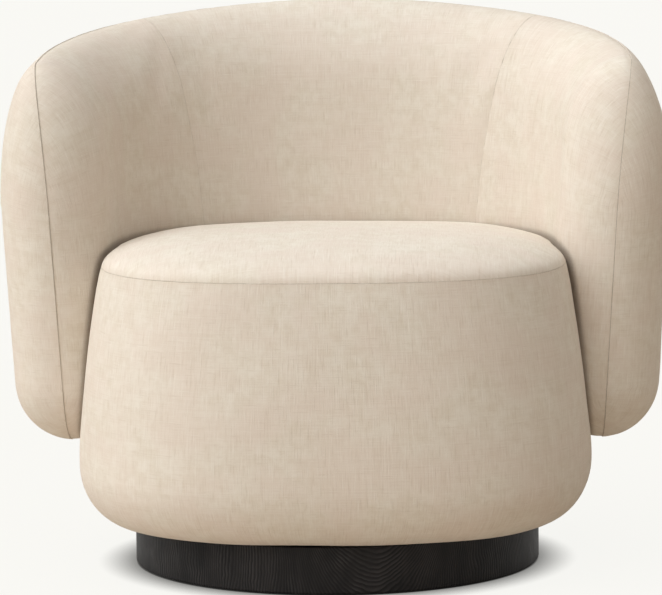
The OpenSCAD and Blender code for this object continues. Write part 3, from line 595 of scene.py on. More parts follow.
def skin_run(spot, side):
    """Place on the flat cloth: metres along the shell and up it, measured over the skin."""
    turn, tip, share, rise, _, out = spot
    corners = np.linspace(0, QUARTER_TURN, 9)
    lengths = [rounding_line(side, corner)[0][-1] for corner in corners]
    hem = rounding_line(side, 0, True)[0][-1]
    run = out * np.where(rise < 0, hem, np.interp(np.arctan2(tip, np.maximum(rise, 0)), corners, lengths))
    aside, up = tip * TIP_ROUNDING, rise * rounding(rise)
    far = np.maximum(np.hypot(aside, up), TINY)
    base = HEM_TOP + share * (rim_height(turn) - RIM_ROUNDING - HEM_TOP)
    return np.stack([plan_lengths(turn) + aside / far * run, base + up / far * run], -1)


def gathered(blocks):
    """The blocks' coordinates and distances one after another, and all their faces."""
    faces, start = [], 0
    for part in blocks:
        faces.append(quads(*part[0].shape, start))
        start += part[0].size
    return [np.concatenate([a.reshape(-1) for a in same]) for same in zip(*blocks)], np.concatenate(faces)


def panel_points(blocks, side, mirrored, depth):
    """Front and back points of a panel, its faces, its places on the cloth and its distances from the seams."""
    (*spot, seam), faces = gathered(blocks)
    first, kept = welded(shell_skin(spot, side), faces)
    spot, seam = [a[first] for a in spot], seam[first]
    front, back, cloth = shell_skin(spot, side), shell_skin(spot, side, depth), skin_run(spot, side)
    if mirrored:
        front, back, cloth = front * [-1, 1, 1], back * [-1, 1, 1], cloth * [-1, 1]
        kept = [face[::-1] for face in kept]
    if (side > 0) == (vertex_normals(front, kept)[:, :2] * front[:, :2]).sum() < 0:
        kept = [face[::-1] for face in kept]
    return front, back, kept, cloth, seam


def closed_body(front, back, faces):
    """The panel with its back and the walls between them."""
    count = len(front)
    walls = [[b, a, a + count, b + count] for a, b in border_edges(faces)]
    rear = [[c + count for c in face[::-1]] for face in faces]
    return np.concatenate([front, back]), faces + rear + walls


def shell_panel(name, side, mirrored, seed):
    """One of the shell's pieces. side is -1 for an inside piece and 1 for an outside one."""
    edge, depth = (INNER_SEAM, INNER_DEPTH) if side < 0 else (OUTER_SEAM, OUTER_DEPTH)
    small = HALF_GAP / SHELL_HALF_WIDTH
    arm = not name.endswith("back")
    place = (arm, edge + small if arm else edge - small, side)
    front, back, faces, cloth, seam = panel_points(panel_blocks(*place, FINE_STEP, True), side, mirrored, depth)
    normals = vertex_normals(front, faces)
    swell = 0
    low, low_back, low_faces, _, low_seam = panel_points(
        panel_blocks(*place, COARSE_STEP, False), side, mirrored, depth)
    held = np.append(low_seam < HELD_AT_SEAM, np.ones(len(low_back), bool))
    swell = cloth_swell(*closed_body(low, low_back, low_faces), held, SHELL_SWELL, len(low), front)
    swell *= np.clip(seat_gap(front) / BESIDE_SEAT, 0, 1)[:, None]
    front = settle(front + swell, normals, cloth, seam, seed)
    points, faces = closed_body(front, back, faces)
    piece = make_mesh(name, points, faces)
    seam = np.append(seam, np.full(len(back), FAR_FROM_SEAM))
    keep_cloth(piece, np.concatenate([cloth, cloth]), seam, seed)
    return piece


def keep_cloth(piece, cloth, seam, seed):
    """Keeps on the mesh where each point lies on its cloth and how near to a seam. The seed sets cloths apart."""
    place = np.column_stack([cloth, np.full(len(cloth), seed * CLOTHS_APART)])
    attributes = piece.data.attributes
    attributes.new("cloth_place", "FLOAT_VECTOR", "POINT").data.foreach_set("vector", place.reshape(-1))
    attributes.new("seam_distance", "FLOAT", "POINT").data.foreach_set("value", seam)


# ---- drum and seat

def ring_grid(profile, step):
    """Closed rings, one for each (half width, height) of the profile: their points, faces and count in a ring."""
    count = 4 * round(DRUM_HALF * math.tau / step / 4)
    turn = np.linspace(0, math.tau, count, endpoint=False)
    half, z = (np.repeat(column, count) for column in zip(*profile))
    turn = np.tile(turn, len(profile))
    r = half * drum_plan(turn)
    points = np.stack([r * np.sin(turn), -r * np.cos(turn), z], -1)
    return points, quads(len(profile), count, 0, closed=True).tolist(), count


def wall_line(levels, depth=0.0):
    """Half widths and heights at those heights, that deep inside the drum's skin."""
    return [(float(drum_side(z)) - depth, z) for z in levels]


def corner_line(angles, depth=0.0):
    """The same round the drum's lower corner."""
    return [(CORNER_START + (CORNER_IN - depth) * math.cos(a), CORNER_TOP - (CORNER_UP - depth) * math.sin(a))
            for a in angles]


def drum_profile(step, fine):
    """Half widths and heights round the drum's wall: its outer skin up to the seam, then its inner side down."""
    ledge, foot = SEAT_FLOOR - LEDGE_CLEARANCE, (CORNER_START - TACK_WIDTH, DRUM_BOTTOM)
    outer = [foot, *corner_line(np.linspace(QUARTER_TURN, 0, round(OVER_CORNER / step) + 1)[:-1]),
             *wall_line(SEAM_HEIGHT - HALF_GAP - graded(SEAM_HEIGHT - CORNER_TOP, step, fine)[::-1])]
    inner = [(SEAM_HALF - TURN_IN, SEAM_HEIGHT - HALF_GAP),
             *wall_line(np.linspace(SEAM_HEIGHT - HIDDEN_BELOW_SEAM, ledge, 5), DRUM_LIP),
             *wall_line(np.linspace(ledge, CORNER_TOP, 9), DRUM_DEPTH),
             *corner_line(np.linspace(0, QUARTER_TURN, 6)[1:], DRUM_DEPTH),
             (CORNER_START, DRUM_BOTTOM + COVER + FOOT_CLEARANCE), (foot[0], DRUM_BOTTOM + COVER)]
    return outer, inner


def seat_profile(step, fine):
    """The same for the seat: its crown from near the middle to the seam, then its hidden side."""
    angles = np.interp(graded(CROWN_LENGTH, step, fine)[::-1], *crown_run())
    crown = [(half, SEAM_HEIGHT + HALF_GAP + rise) for half, rise in zip(*crown_form(angles[1:]))]
    levels = np.linspace(SEAM_HEIGHT - HIDDEN_BELOW_SEAM, SEAT_FLOOR, 6)
    return crown, [(SEAM_HALF - TURN_IN, SEAM_HEIGHT + HALF_GAP), *wall_line(levels, DRUM_LIP + SEAT_CLEARANCE)]


def crown_form(angle):
    """Half width and rise of the crown: fuller at its shoulders than an ellipse, leaning in from the seam up."""
    n, whole = CROWN_FULLNESS, SEAT_CROWN + CROWN_START
    widest = SEAM_HALF / (1 - (CROWN_START / whole) ** n) ** (1 / n)
    return widest * np.cos(angle) ** (2 / n), whole * np.sin(angle) ** (2 / n) - CROWN_START


def crown_run():
    """Lengths over the crown from the seam, and the angle at each."""
    start = math.asin((CROWN_START / (SEAT_CROWN + CROWN_START)) ** (CROWN_FULLNESS / 2))
    angles = start + (QUARTER_TURN - start) * np.linspace(0, 1, CROWN_TABLE) ** 2
    half, rise = crown_form(angles)
    run = running(np.hypot(np.diff(half), np.diff(rise)))
    return run * CROWN_LENGTH / run[-1], angles


def round_form(crowned, step, fine):
    """Points and faces of the drum or, if crowned, of the seat, whose last two points are the middles of its crown
    and its floor, and how many of the points are on the skin."""
    outer, inner = (seat_profile if crowned else drum_profile)(step, fine)
    points, faces, count = ring_grid(outer + inner, step)
    total, last = len(points), len(points) - count
    around = [(k, (k + 1) % count) for k in range(count)]
    if not crowned:
        return points, faces + [[last + k, last + after, after, k] for k, after in around], len(outer) * count
    back = np.maximum(points[:, 1], 0)
    fall = CROWN_FALL / SEAT_CROWN * back ** 2 / (back + CROWN_EASE)
    points[:, 2] -= fall * np.maximum(points[:, 2] - SEAM_HEIGHT, 0)
    faces += [[total, after, k] for k, after in around]
    faces += [[total + 1, last + k, last + after] for k, after in around]
    return np.concatenate([points, [[0, 0, CROWN_TOP], [0, 0, SEAT_FLOOR]]]), faces, len(outer) * count


def round_cloth(points, crowned):
    """Each point's place on the seat's or the drum's flat cloth, and its distance from their seam."""
    turn, half = drum_reach(points)
    z = points[:, 2]
    seam = np.hypot(half - SEAM_HALF, z - SEAM_HEIGHT)
    if crowned:
        return points[:, :2].copy(), seam
    under = np.maximum(0, CORNER_START - half)
    fall = np.where(z < CORNER_TOP, (CORNER_TOP - z) * CORNER_LENGTH + under, 0)
    return np.stack([turn * DRUM_HALF * DRUM_GIRTH_SHARE, np.maximum(z, CORNER_TOP) - fall], -1), seam


def round_piece(name, crowned, swell_most, seed, cutters):
    """The seat's or the drum's piece: swelled, drawn in at its seam, tucked in along the shell and cut clear."""
    points, faces, skin = round_form(crowned, FINE_STEP, True)
    normals = vertex_normals(points, faces)
    flat, seam = round_cloth(points, crowned)
    if (normals[:skin] * (points[:skin] - points.mean(0))).sum() < 0:
        normals = -normals
    swell = np.zeros_like(points)
    low, low_faces, low_skin = round_form(crowned, COARSE_STEP, False)
    low_seam = round_cloth(low, crowned)[1]
    held = np.ones(len(low), bool)
    at_seam, at_shell = low_seam[:low_skin] < HELD_AT_ROUND_SEAM, shell_gap(low[:low_skin]) < HELD_AT_SHELL
    held[:low_skin] = at_seam | at_shell
    held[-2] = not crowned
    swell[:skin] = cloth_swell(low, low_faces, held, swell_most, low_skin, points[:skin])
    gap = shell_gap(points)
    tuck = TUCK_DEPTH * np.clip(1 - gap / TUCK_REACH, 0, 1) ** 2
    moved = settle(points + swell, normals, flat, seam, seed) - normals * tuck[:, None]
    hidden = np.arange(len(points)) >= skin
    hidden[-2] = not crowned
    moved[hidden] = points[hidden]
    piece = make_mesh(name, moved, faces)
    for cutter in cutters:
        cut(piece, cutter)
    keep_cloth(piece, *round_cloth(mesh_points(piece.data), crowned), seed)
    piece.data.polygons.foreach_set("use_smooth", [True] * len(piece.data.polygons))
    return piece


def cut(piece, cutter):
    boolean = piece.modifiers.new("cut", "BOOLEAN")
    boolean.operation, boolean.solver, boolean.object = "DIFFERENCE", "MANIFOLD", cutter
    depsgraph = bpy.context.evaluated_depsgraph_get()
    mesh = bpy.data.meshes.new_from_object(piece.evaluated_get(depsgraph))
    piece.modifiers.clear()
    old, piece.data = piece.data, mesh
    bpy.data.meshes.remove(old)
    mesh.name = piece.name


def shell_cutter():
    """The whole shell as one closed form, grown by the gap, to cut what it meets."""
    parts, faces, start = [], [], 0
    back, arms = (panel_blocks(arm, INNER_SEAM, 0, CUTTER_STEP, False, 0) for arm in (False, True))
    for side in (-1, 1):
        for blocks, sign in ((back, 1), (arms, 1), (arms, -1)):
            (turn, tip, share, rise, *_), group = gathered(blocks)
            flat = np.where(rise < 0, 0, flat_share(side, np.arctan2(tip, np.abs(rise))))
            turned = np.maximum(0, np.hypot(tip, rise) - flat) / (1 - flat)
            bulge = np.sqrt(np.maximum(0, 1 - turned ** 2))
            parts.append(shell_skin([turn, tip, share, rise, bulge], side, -CUT_GAP) * [sign, 1, 1])
            faces.append(group + start)
            start += len(turn)
    points = np.concatenate(parts)
    first, kept = welded(points, np.concatenate(faces))
    return make_mesh("shell_cutter", points[first], kept)


def spacer_cutter():
    """A slightly larger copy of the spacers, to cut their holes."""
    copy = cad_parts["shell_spacers"].copy()
    copy.data = copy.data.copy()
    copy.name = "spacer_cutter"
    bpy.context.scene.collection.objects.link(copy)
    work = bmesh.new()
    work.from_mesh(copy.data)
    bmesh.ops.remove_doubles(work, verts=work.verts, dist=WELD)
    bmesh.ops.recalc_face_normals(work, faces=work.faces)
    work.normal_update()
    for vertex in work.verts:
        vertex.co += vertex.normal * CUT_GAP
    work.to_mesh(copy.data)
    work.free()
    return copy


# ---- making the upholstery

def upholstery():
    shell_form, spacers = shell_cutter(), spacer_cutter()
    pieces = {}
    for side, where in ((-1, "inside"), (1, "outside")):
        for part, mirrored in (("back", False), ("arm_right", False), ("arm_left", True)):
            name = f"{where}_{part}"
            pieces[name] = shell_panel(name, side, mirrored, 11 + len(pieces))
            if side < 0:
                cut(pieces[name], spacers)
    pieces["drum_body"] = round_piece("drum_body", False, SHELL_SWELL, 17, [shell_form, spacers])
    pieces["seat_top"] = round_piece("seat_top", True, SEAT_SWELL, 18, [shell_form])
    for cutter in (shell_form, spacers):
        bpy.data.objects.remove(cutter)
    stands_for = {
        "inside_back": ("inside_back_cover", "back_foam"),
        "inside_arm_left": ("inside_arm_cover_left", "arm_foam_left"),
        "inside_arm_right": ("inside_arm_cover_right", "arm_foam_right"),
        "outside_back": ("outside_back_cover", "outer_padding"),
        "outside_arm_left": ("outside_arm_cover_left",),
        "outside_arm_right": ("outside_arm_cover_right",),
        "drum_body": ("drum_cover", "drum_foam"),
        "seat_top": ("seat_top_cover", "seat_foam"),
    }
    for name, piece in pieces.items():
        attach(piece, "seat")
        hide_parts(*stands_for[name])
    return pieces


# ---- node helpers

class Wire:
    """What a node puts out. Arithmetic on it adds math nodes."""

    def __init__(self, nodes, socket):
        self.nodes, self.socket = nodes, socket

    def __add__(self, other):
        return self.nodes.math("ADD", self, other)

    def __sub__(self, other):
        return self.nodes.math("SUBTRACT", self, other)

    def __mul__(self, other):
        return self.nodes.math("MULTIPLY", self, other)

    def __truediv__(self, other):
        return self.nodes.math("DIVIDE", self, other)

    def __rtruediv__(self, other):
        return self.nodes.math("DIVIDE", other, self)


class Nodes:
    """Adds nodes to a material or a group. Inputs are named with _ for a space, and take a wire or a constant."""

    def __init__(self, tree):
        self.tree = tree

    def feed(self, made, inputs):
        for name, value in inputs.items():
            socket = made.inputs[name.replace("_", " ") if isinstance(name, str) else name]
            if isinstance(value, Wire):
                self.tree.links.new(value.socket, socket)
            else:
                socket.default_value = value

    def node(self, kind, inputs=None, **settings):
        row, column = divmod(len(self.tree.nodes), 12)
        made = self.tree.nodes.new(kind)
        made.location = (180 * column, -260 * row)
        for name, value in settings.items():
            setattr(made, name, value)
        self.feed(made, inputs or {})
        return made

    def out(self, kind, output, inputs=None, **settings):
        return Wire(self, self.node(kind, inputs, **settings).outputs[output])

    def place(self):
        return self.out("ShaderNodeTexCoord", "Object")

    def math(self, operation, *values):
        return self.out("ShaderNodeMath", 0, dict(enumerate(values)), operation=operation)

    def vector(self, operation, *values, output="Vector"):
        return self.out("ShaderNodeVectorMath", output, dict(enumerate(values)), operation=operation)

    def noise(self, place, scale, detail=2.0, roughness=0.5):
        inputs = dict(Vector=place, Scale=scale, Detail=detail, Roughness=roughness)
        return self.out("ShaderNodeTexNoise", "Fac", inputs)

    def stretched(self, place, scale, detail=2.0, roughness=0.5):
        """Noise stretched along the axes with the smaller scales."""
        return self.noise(self.vector("MULTIPLY", place, scale), 1.0, detail, roughness)

    def spread(self, value, low, high, to_low=0.0, to_high=1.0):
        """Turns the range from low to high smoothly into that from to_low to to_high."""
        inputs = dict(Value=value, From_Min=low, From_Max=high, To_Min=to_low, To_Max=to_high)
        return self.out("ShaderNodeMapRange", "Result", inputs, interpolation_type="SMOOTHSTEP")

    def blend(self, share, first, second):
        return self.out("ShaderNodeMix", 2, {0: share, 6: first, 7: second}, data_type="RGBA")

    def layered(self, colour, *layers):
        """Lays each (share, colour) over what is below it."""
        for share, over in layers:
            colour = self.blend(share, colour, over)
        return colour

    def parts(self, place):
        return [Wire(self, socket) for socket in self.node("ShaderNodeSeparateXYZ", {"Vector": place}).outputs]

    def joined(self, x, y, z):
        return self.out("ShaderNodeCombineXYZ", 0, {0: x, 1: y, 2: z})

    def open_sky(self, reach, samples):
        return self.out("ShaderNodeAmbientOcclusion", "AO", {"Distance": reach}, samples=samples)

    def use(self, group, **inputs):
        made = self.node("ShaderNodeGroup", inputs, node_tree=bpy.data.node_groups[group])
        return {socket.name: Wire(self, socket) for socket in made.outputs}

    def bump(self, height, depth, **normal):
        inputs = dict(Height=height, Distance=depth, Strength=1.0, **normal)
        return self.out("ShaderNodeBump", "Normal", inputs)

    def shade(self, **inputs):
        self.feed(self.tree.nodes["Principled BSDF"], inputs)


def new_material(name, build, *settings):
    """A material whose nodes the function adds, with those settings."""
    material = bpy.data.materials.new(name)
    material.use_nodes = True
    build(Nodes(material.node_tree), *settings)
    return material


def new_group(build, **inputs):
    """A shader group named after the function that builds it. It takes a place and the named inputs, and puts out
    what the function gives by name."""
    tree = bpy.data.node_groups.new(build.__name__, "ShaderNodeTree")
    tree.interface.new_socket("Place", in_out="INPUT", socket_type="NodeSocketVector")
    for name, value in inputs.items():
        label = name.replace("_", " ")
        tree.interface.new_socket(label, in_out="INPUT", socket_type="NodeSocketFloat").default_value = value
    nodes = Nodes(tree)
    given = nodes.node("NodeGroupInput").outputs
    results = build(nodes, *(Wire(nodes, given[k]) for k in range(len(inputs) + 1)))
    for label in results:
        tree.interface.new_socket(label, in_out="OUTPUT", socket_type="NodeSocketFloat")
    nodes.node("NodeGroupOutput", results)


# ---- fabric groups

def plain_weave(nodes, place, yarn_pitch, waver):
    """Over-and-under weave of round yarns. Height is 0 in the gaps and 1 on a yarn's top."""
    shift = (nodes.stretched(place, (90, 90, 1)) - 0.5) * waver
    x, y, _ = nodes.parts(place)
    across, up = x / yarn_pitch + shift, y / yarn_pitch + shift

    def yarn(over, along, start):
        round_top = nodes.math("ABSOLUTE", nodes.math("SINE", over * math.pi))
        rise = nodes.math("SINE", (nodes.math("FLOOR", over) + along) * math.pi + start)
        return round_top * nodes.math("MULTIPLY_ADD", rise, 0.35, 0.65)

    return {
        "Height": nodes.math("MAXIMUM", yarn(across, up, 0.0), yarn(up, across, math.pi)),
        "Yarn Tone": nodes.stretched(place, (800, 9, 1)) * nodes.stretched(place, (9, 800, 1)) * 4.0,
    }


def slub_yarns(nodes, place, streak_width, streak_length):
    """Thick and thin places in the yarns, as short streaks both ways, and the soft heathering of the cloth."""
    narrow, long = 1.0 / streak_width, 1.0 / streak_length
    warp = nodes.stretched(place, nodes.joined(narrow, long, 1.0), 1.0, 0.4)
    weft = nodes.stretched(nodes.vector("ADD", place, (3.1, 1.7, 0.4)), nodes.joined(long, narrow, 1.0), 1.0, 0.4)
    wide = nodes.noise(nodes.vector("ADD", place, (0.6, 2.2, 0.9)), 15.0)
    return {
        "Slub": nodes.math("MAXIMUM", nodes.spread(warp, 0.54, 0.80), nodes.spread(weft, 0.60, 0.84)),
        "Thin Place": nodes.math("MAXIMUM", nodes.spread(warp, 0.46, 0.20), nodes.spread(weft, 0.40, 0.16)),
        "Heather": nodes.spread(nodes.noise(place, 60.0, 4.0, 0.65), 0.30, 0.70),
        "Tint": nodes.spread(wide, 0.32, 0.68),
    }


def seam_line(nodes, place, seam_distance):
    """Masks for painted shade at a seam: 1 in its stitched line, in short dashes as the stitches pull, and a soft
    painted shade beside it.
    """
    dashes = nodes.spread(nodes.noise(place, 150.0, 1.0, 0.4), 0.40, 0.58, 0.25, 1.0)
    return {
        "Line": nodes.spread(seam_distance, 0.0008, 0.0002) * dashes,
        "Beside": nodes.spread(seam_distance, 0.012, 0.0),
    }


def pressed_fibres(nodes, place, fibre_size):
    """Short fibres lying every way, for felt, non-woven cloth and hardboard."""
    return {
        "Fibres": nodes.noise(place, 1.0 / fibre_size, 4.0, 0.7),
        "Lint": nodes.spread(nodes.stretched(place, (420, 90, 420)), 0.66, 0.74),
    }


# ---- wood and metal groups

def wood_figure(nodes, place, distance, ring_pitch, pore_scale):
    """Growth rings and pores. distance is measured across the rings, and place runs along the fibres in its Z."""
    bend = (nodes.noise(place, 22.0, 3.0) - 0.5) * 0.012
    part = nodes.math("FRACT", (distance + bend) / ring_pitch)
    uneven = nodes.math("MULTIPLY_ADD", nodes.noise(place, 55.0), 0.8, 0.4)
    fine = nodes.vector("MULTIPLY", place, (1, 1, 0.05))
    pores = nodes.spread(nodes.noise(fine, pore_scale, 2.0, 0.6), 0.60, 0.72)
    return {
        "Ring": nodes.spread(part, 0.1, 0.80) * nodes.spread(part, 1.0, 0.88) * uneven,
        "Pores": pores * nodes.spread(part, 0.55, 0.15),
        "Drift": nodes.noise(fine, 30.0, 3.0, 0.6),
    }


def metal_marks(nodes, place):
    """Fine rubbing marks and dull patches of plated or polished steel."""
    return {
        "Marks": nodes.stretched(place, (1400, 90, 300), 3.0, 0.7),
        "Dull": nodes.spread(nodes.noise(place, 60.0, 4.0, 0.65), 0.35, 0.75),
    }


def ply_layers(nodes, place, layer_place, face, layer):
    """The glued layers on plywood's edges. layer_place is measured across them. face is 1 on the board's faces."""
    count = (layer_place + nodes.noise(place, 40.0) * 0.0004) / layer
    edge = nodes.spread(face, 0.8, 0.6)
    return {
        "Dark Layer": nodes.math("GREATER_THAN", nodes.math("FRACT", count * 0.5), 0.5) * edge,
        "Glue Line": nodes.spread(nodes.math("FRACT", count), 0.12, 0.0) * edge,
    }


# ---- materials

def oatmeal_linen(nodes):
    """The covers' woven linen: heathered oatmeal yarns with slubs, with painted shade in the weave's gaps, along
    the seams and in creases.
    """
    place = nodes.out("ShaderNodeAttribute", "Vector", attribute_name="cloth_place")
    from_seam = nodes.out("ShaderNodeAttribute", "Fac", attribute_name="seam_distance")
    weave = nodes.use("plain_weave", Place=place)
    slubs = nodes.use("slub_yarns", Place=place)
    seam = nodes.use("seam_line", Place=place, Seam_Distance=from_seam)
    colour = nodes.layered(
        LINEN_DEEP,
        (slubs["Heather"], LINEN_PALE),
        (slubs["Tint"] * 0.7, LINEN_WARM),
        (slubs["Slub"] * 0.42, LINEN_SLUB),
        (slubs["Thin Place"] * 0.26, LINEN_THIN_AND_SHADE),
        # painted shade in the weave's gaps between the yarns
        (nodes.spread(weave["Height"], 0.0, 0.7, 0.16, 0.0), LINEN_THIN_AND_SHADE),
        (nodes.spread(weave["Yarn Tone"], 0.5, 1.6, 0.0, 0.22), LINEN_SLUB),
        # painted shade in the seam's groove, and a soft painted shade beside it
        (seam["Beside"] * 0.06, LINEN_THIN_AND_SHADE),
        (seam["Line"] * 0.16, SEAM_SHADE),
        # painted shade: darker where little open sky is left, in creases and against the shell
        (nodes.spread(nodes.open_sky(CREASE_REACH, 12), 0.30, 0.80, 0.70, 0.0), CREASE_SHADE))
    thread = nodes.bump(weave["Height"], 0.00010)
    nodes.shade(Base_Color=colour, Roughness=nodes.spread(slubs["Slub"], 0.0, 1.0, 0.94, 0.84),
                Specular_IOR_Level=0.25, Sheen_Weight=0.16, Sheen_Roughness=0.45, Sheen_Tint=(1.0, 0.95, 0.88, 1),
                Normal=nodes.bump(slubs["Slub"] - slubs["Thin Place"], 0.00016, Normal=thread))


def stained_oak(nodes):
    """The plinth's black-stained oak: upright grain, with the bowed figure of flat-sawn wood at the front."""
    x, y, z = nodes.parts(nodes.place())
    turn = nodes.math("ARCTAN2", x, y * -1.0)
    along = nodes.math("WRAP", turn - FIGURE_TURN, math.pi / 3, -math.pi / 3) * PLINTH_RADIUS
    flat = nodes.joined(turn * PLINTH_RADIUS, 0.0, z)
    wide = along + (nodes.noise(flat, 9.0) - 0.5) * FIGURE_WANDER
    bowl = nodes.math("SQRT", nodes.math("MULTIPLY_ADD", wide, wide, FIGURE_WIDTH ** 2))
    arched = nodes.spread(nodes.math("ABSOLUTE", along), *FIGURE_ARCH)
    wood = nodes.use("wood_figure", Place=flat, Distance=bowl - z * arched, Ring_Pitch=0.0038, Pore_Scale=1100.0)
    clear = nodes.spread(nodes.stretched(flat, (26, 1, 14), 2.0, 0.6), 0.36, 0.66, 0.15, 0.80)
    colour = nodes.layered(OAK_DARK, (nodes.spread(wood["Drift"], 0.3, 0.7), OAK_WORN),
                           (wood["Ring"] * clear, OAK_RING), (wood["Pores"] * 0.85, OAK_PORE))
    nodes.shade(Base_Color=colour, Roughness=nodes.spread(wood["Ring"], 0.0, 1.0, 0.66, 0.46),
                Specular_IOR_Level=0.14, Normal=nodes.bump(wood["Ring"] - wood["Pores"], 0.00016))


def birch_plywood(nodes, upright):
    """Raw birch plywood. upright boards stand on edge round the chair, the others lie flat."""
    place = nodes.place()
    x, y, z = nodes.parts(place)
    if upright:
        level = nodes.joined(x, y, 0.0)
        across = nodes.vector("CROSS_PRODUCT", nodes.vector("NORMALIZE", level), (0, 0, 1))
        layer_place = nodes.math("ARCTAN2", x, y) * nodes.vector("LENGTH", level, output="Value")
        fibre = place
    else:
        across, layer_place, fibre = (0, 0, 1), z, nodes.joined(z, x, y)
    facing = nodes.out("ShaderNodeTexCoord", "Normal")
    face = nodes.math("ABSOLUTE", nodes.vector("DOT_PRODUCT", facing, across, output="Value"))
    ply = nodes.use("ply_layers", Place=place, Layer_Place=layer_place, Face=face)
    wood = nodes.use("wood_figure", Place=fibre, Distance=x * 0.35, Ring_Pitch=0.011, Pore_Scale=1600.0)
    colour = nodes.layered(BIRCH_PALE, (nodes.spread(wood["Drift"], 0.3, 0.7), BIRCH_DEEP),
                           (wood["Ring"] * 0.25, BIRCH_DEEP), (wood["Pores"] * 0.35, BIRCH_ACROSS),
                           (ply["Dark Layer"] * 0.75, BIRCH_ACROSS), (ply["Glue Line"] * 0.7, BIRCH_GLUE))
    nodes.shade(Base_Color=colour, Roughness=nodes.spread(ply["Dark Layer"], 0.0, 1.0, 0.62, 0.82),
                Normal=nodes.bump(wood["Drift"] - wood["Pores"], 0.00008))


def hardboard(nodes):
    """The thin bent lining boards: brown pressed fibre, smoother in patches."""
    place = nodes.place()
    fibres = nodes.use("pressed_fibres", Place=place, Fibre_Size=0.0011)["Fibres"]
    patches = nodes.noise(place, 26.0, 3.0, 0.6)
    colour = nodes.layered(HARDBOARD_DEEP, (nodes.spread(patches, 0.3, 0.7), HARDBOARD_PALE),
                           (nodes.spread(fibres, 0.52, 0.68, 0.0, 0.6), HARDBOARD_FIBRE))
    nodes.shade(Base_Color=colour, Roughness=nodes.spread(patches, 0.3, 0.7, 0.55, 0.75),
                Normal=nodes.bump(fibres, 0.00010))


def steel(nodes, bright, dull, smooth, rough, depth):
    """Steel between smooth and rough, with rubbing marks of that depth."""
    marks = nodes.use("metal_marks", Place=nodes.place())
    colour = nodes.layered(bright, (marks["Dull"], dull),
                           (nodes.spread(marks["Marks"], 0.55, 0.75, 0.0, 0.35), dull))
    rubbed = nodes.math("MULTIPLY_ADD", marks["Marks"], 0.4, marks["Dull"] * 0.6)
    nodes.shade(Base_Color=colour, Roughness=nodes.spread(rubbed, 0.1, 0.9, smooth, rough), Metallic=1.0,
                Normal=nodes.bump(marks["Marks"], depth))


def cage_nylon(nodes):
    """Ivory moulded nylon, faintly mottled, shiny with grease in places."""
    place = nodes.place()
    grease = nodes.spread(nodes.noise(place, 45.0, 3.0, 0.6), 0.5, 0.72)
    colour = nodes.layered(NYLON_DEEP, (nodes.noise(place, 180.0, 3.0, 0.6), NYLON_PALE),
                           (grease * 0.4, NYLON_GREASE))
    nodes.shade(Base_Color=colour, Roughness=nodes.spread(grease, 0.0, 1.0, 0.55, 0.28), Subsurface_Weight=0.05,
                Normal=nodes.bump(nodes.noise(place, 2600.0), 0.00003))


def black_fibres(nodes, dark, pale, fibre_size, depth, dots=None):
    """Felt or, with dots that far apart, the spot-bonded non-woven dust cloth."""
    place = nodes.place()
    felt = nodes.use("pressed_fibres", Place=place, Fibre_Size=fibre_size)
    height = felt["Fibres"]
    ground = nodes.blend(nodes.spread(height, 0.35, 0.65), dark, pale)
    if dots:
        x, y, _ = nodes.parts(nodes.vector("MULTIPLY", place, (math.pi / dots, math.pi / dots, 1)))
        spots = nodes.spread(nodes.math("SINE", x) * nodes.math("SINE", y), 0.35, 0.65)
        ground = nodes.blend(spots * 0.6, ground, dark)
        height = height - spots
    nodes.shade(Base_Color=nodes.blend(felt["Lint"] * 0.35, ground, LINT), Sheen_Weight=0.25, Sheen_Roughness=0.5,
                Roughness=nodes.spread(felt["Fibres"], 0.3, 0.7, 0.98, 0.86), Normal=nodes.bump(height, depth))


def elastic_webbing(nodes, lengthwise):
    """Woven elastic webbing. lengthwise is the axis, 0 for X or 1 for Y, along which the straps run."""
    place = nodes.parts(nodes.place())
    run, across = place[lengthwise], place[1 - lengthwise]
    weave = nodes.use("plain_weave", Place=nodes.joined(across, run, 0.0), Yarn_Pitch=0.0016, Waver=0.1)
    ribs = nodes.math("SINE", across * (math.tau / WEBBING_RIB))
    stripe = nodes.spread(nodes.math("ABSOLUTE", nodes.math("FRACT", across / WEBBING_STRIPE) - 0.5), 0.08, 0.05)
    colour = nodes.layered(WEBBING_DARK, (weave["Height"], WEBBING_PALE), (stripe * 0.7, WEBBING_LINE),
                           (nodes.spread(weave["Yarn Tone"], 0.6, 1.6, 0.0, 0.3), WEBBING_PALE))
    nodes.shade(Base_Color=colour, Roughness=nodes.spread(weave["Height"], 0.0, 1.0, 0.92, 0.74), Sheen_Weight=0.1,
                Normal=nodes.bump(nodes.math("MULTIPLY_ADD", ribs, 0.3, weave["Height"]), 0.0003))


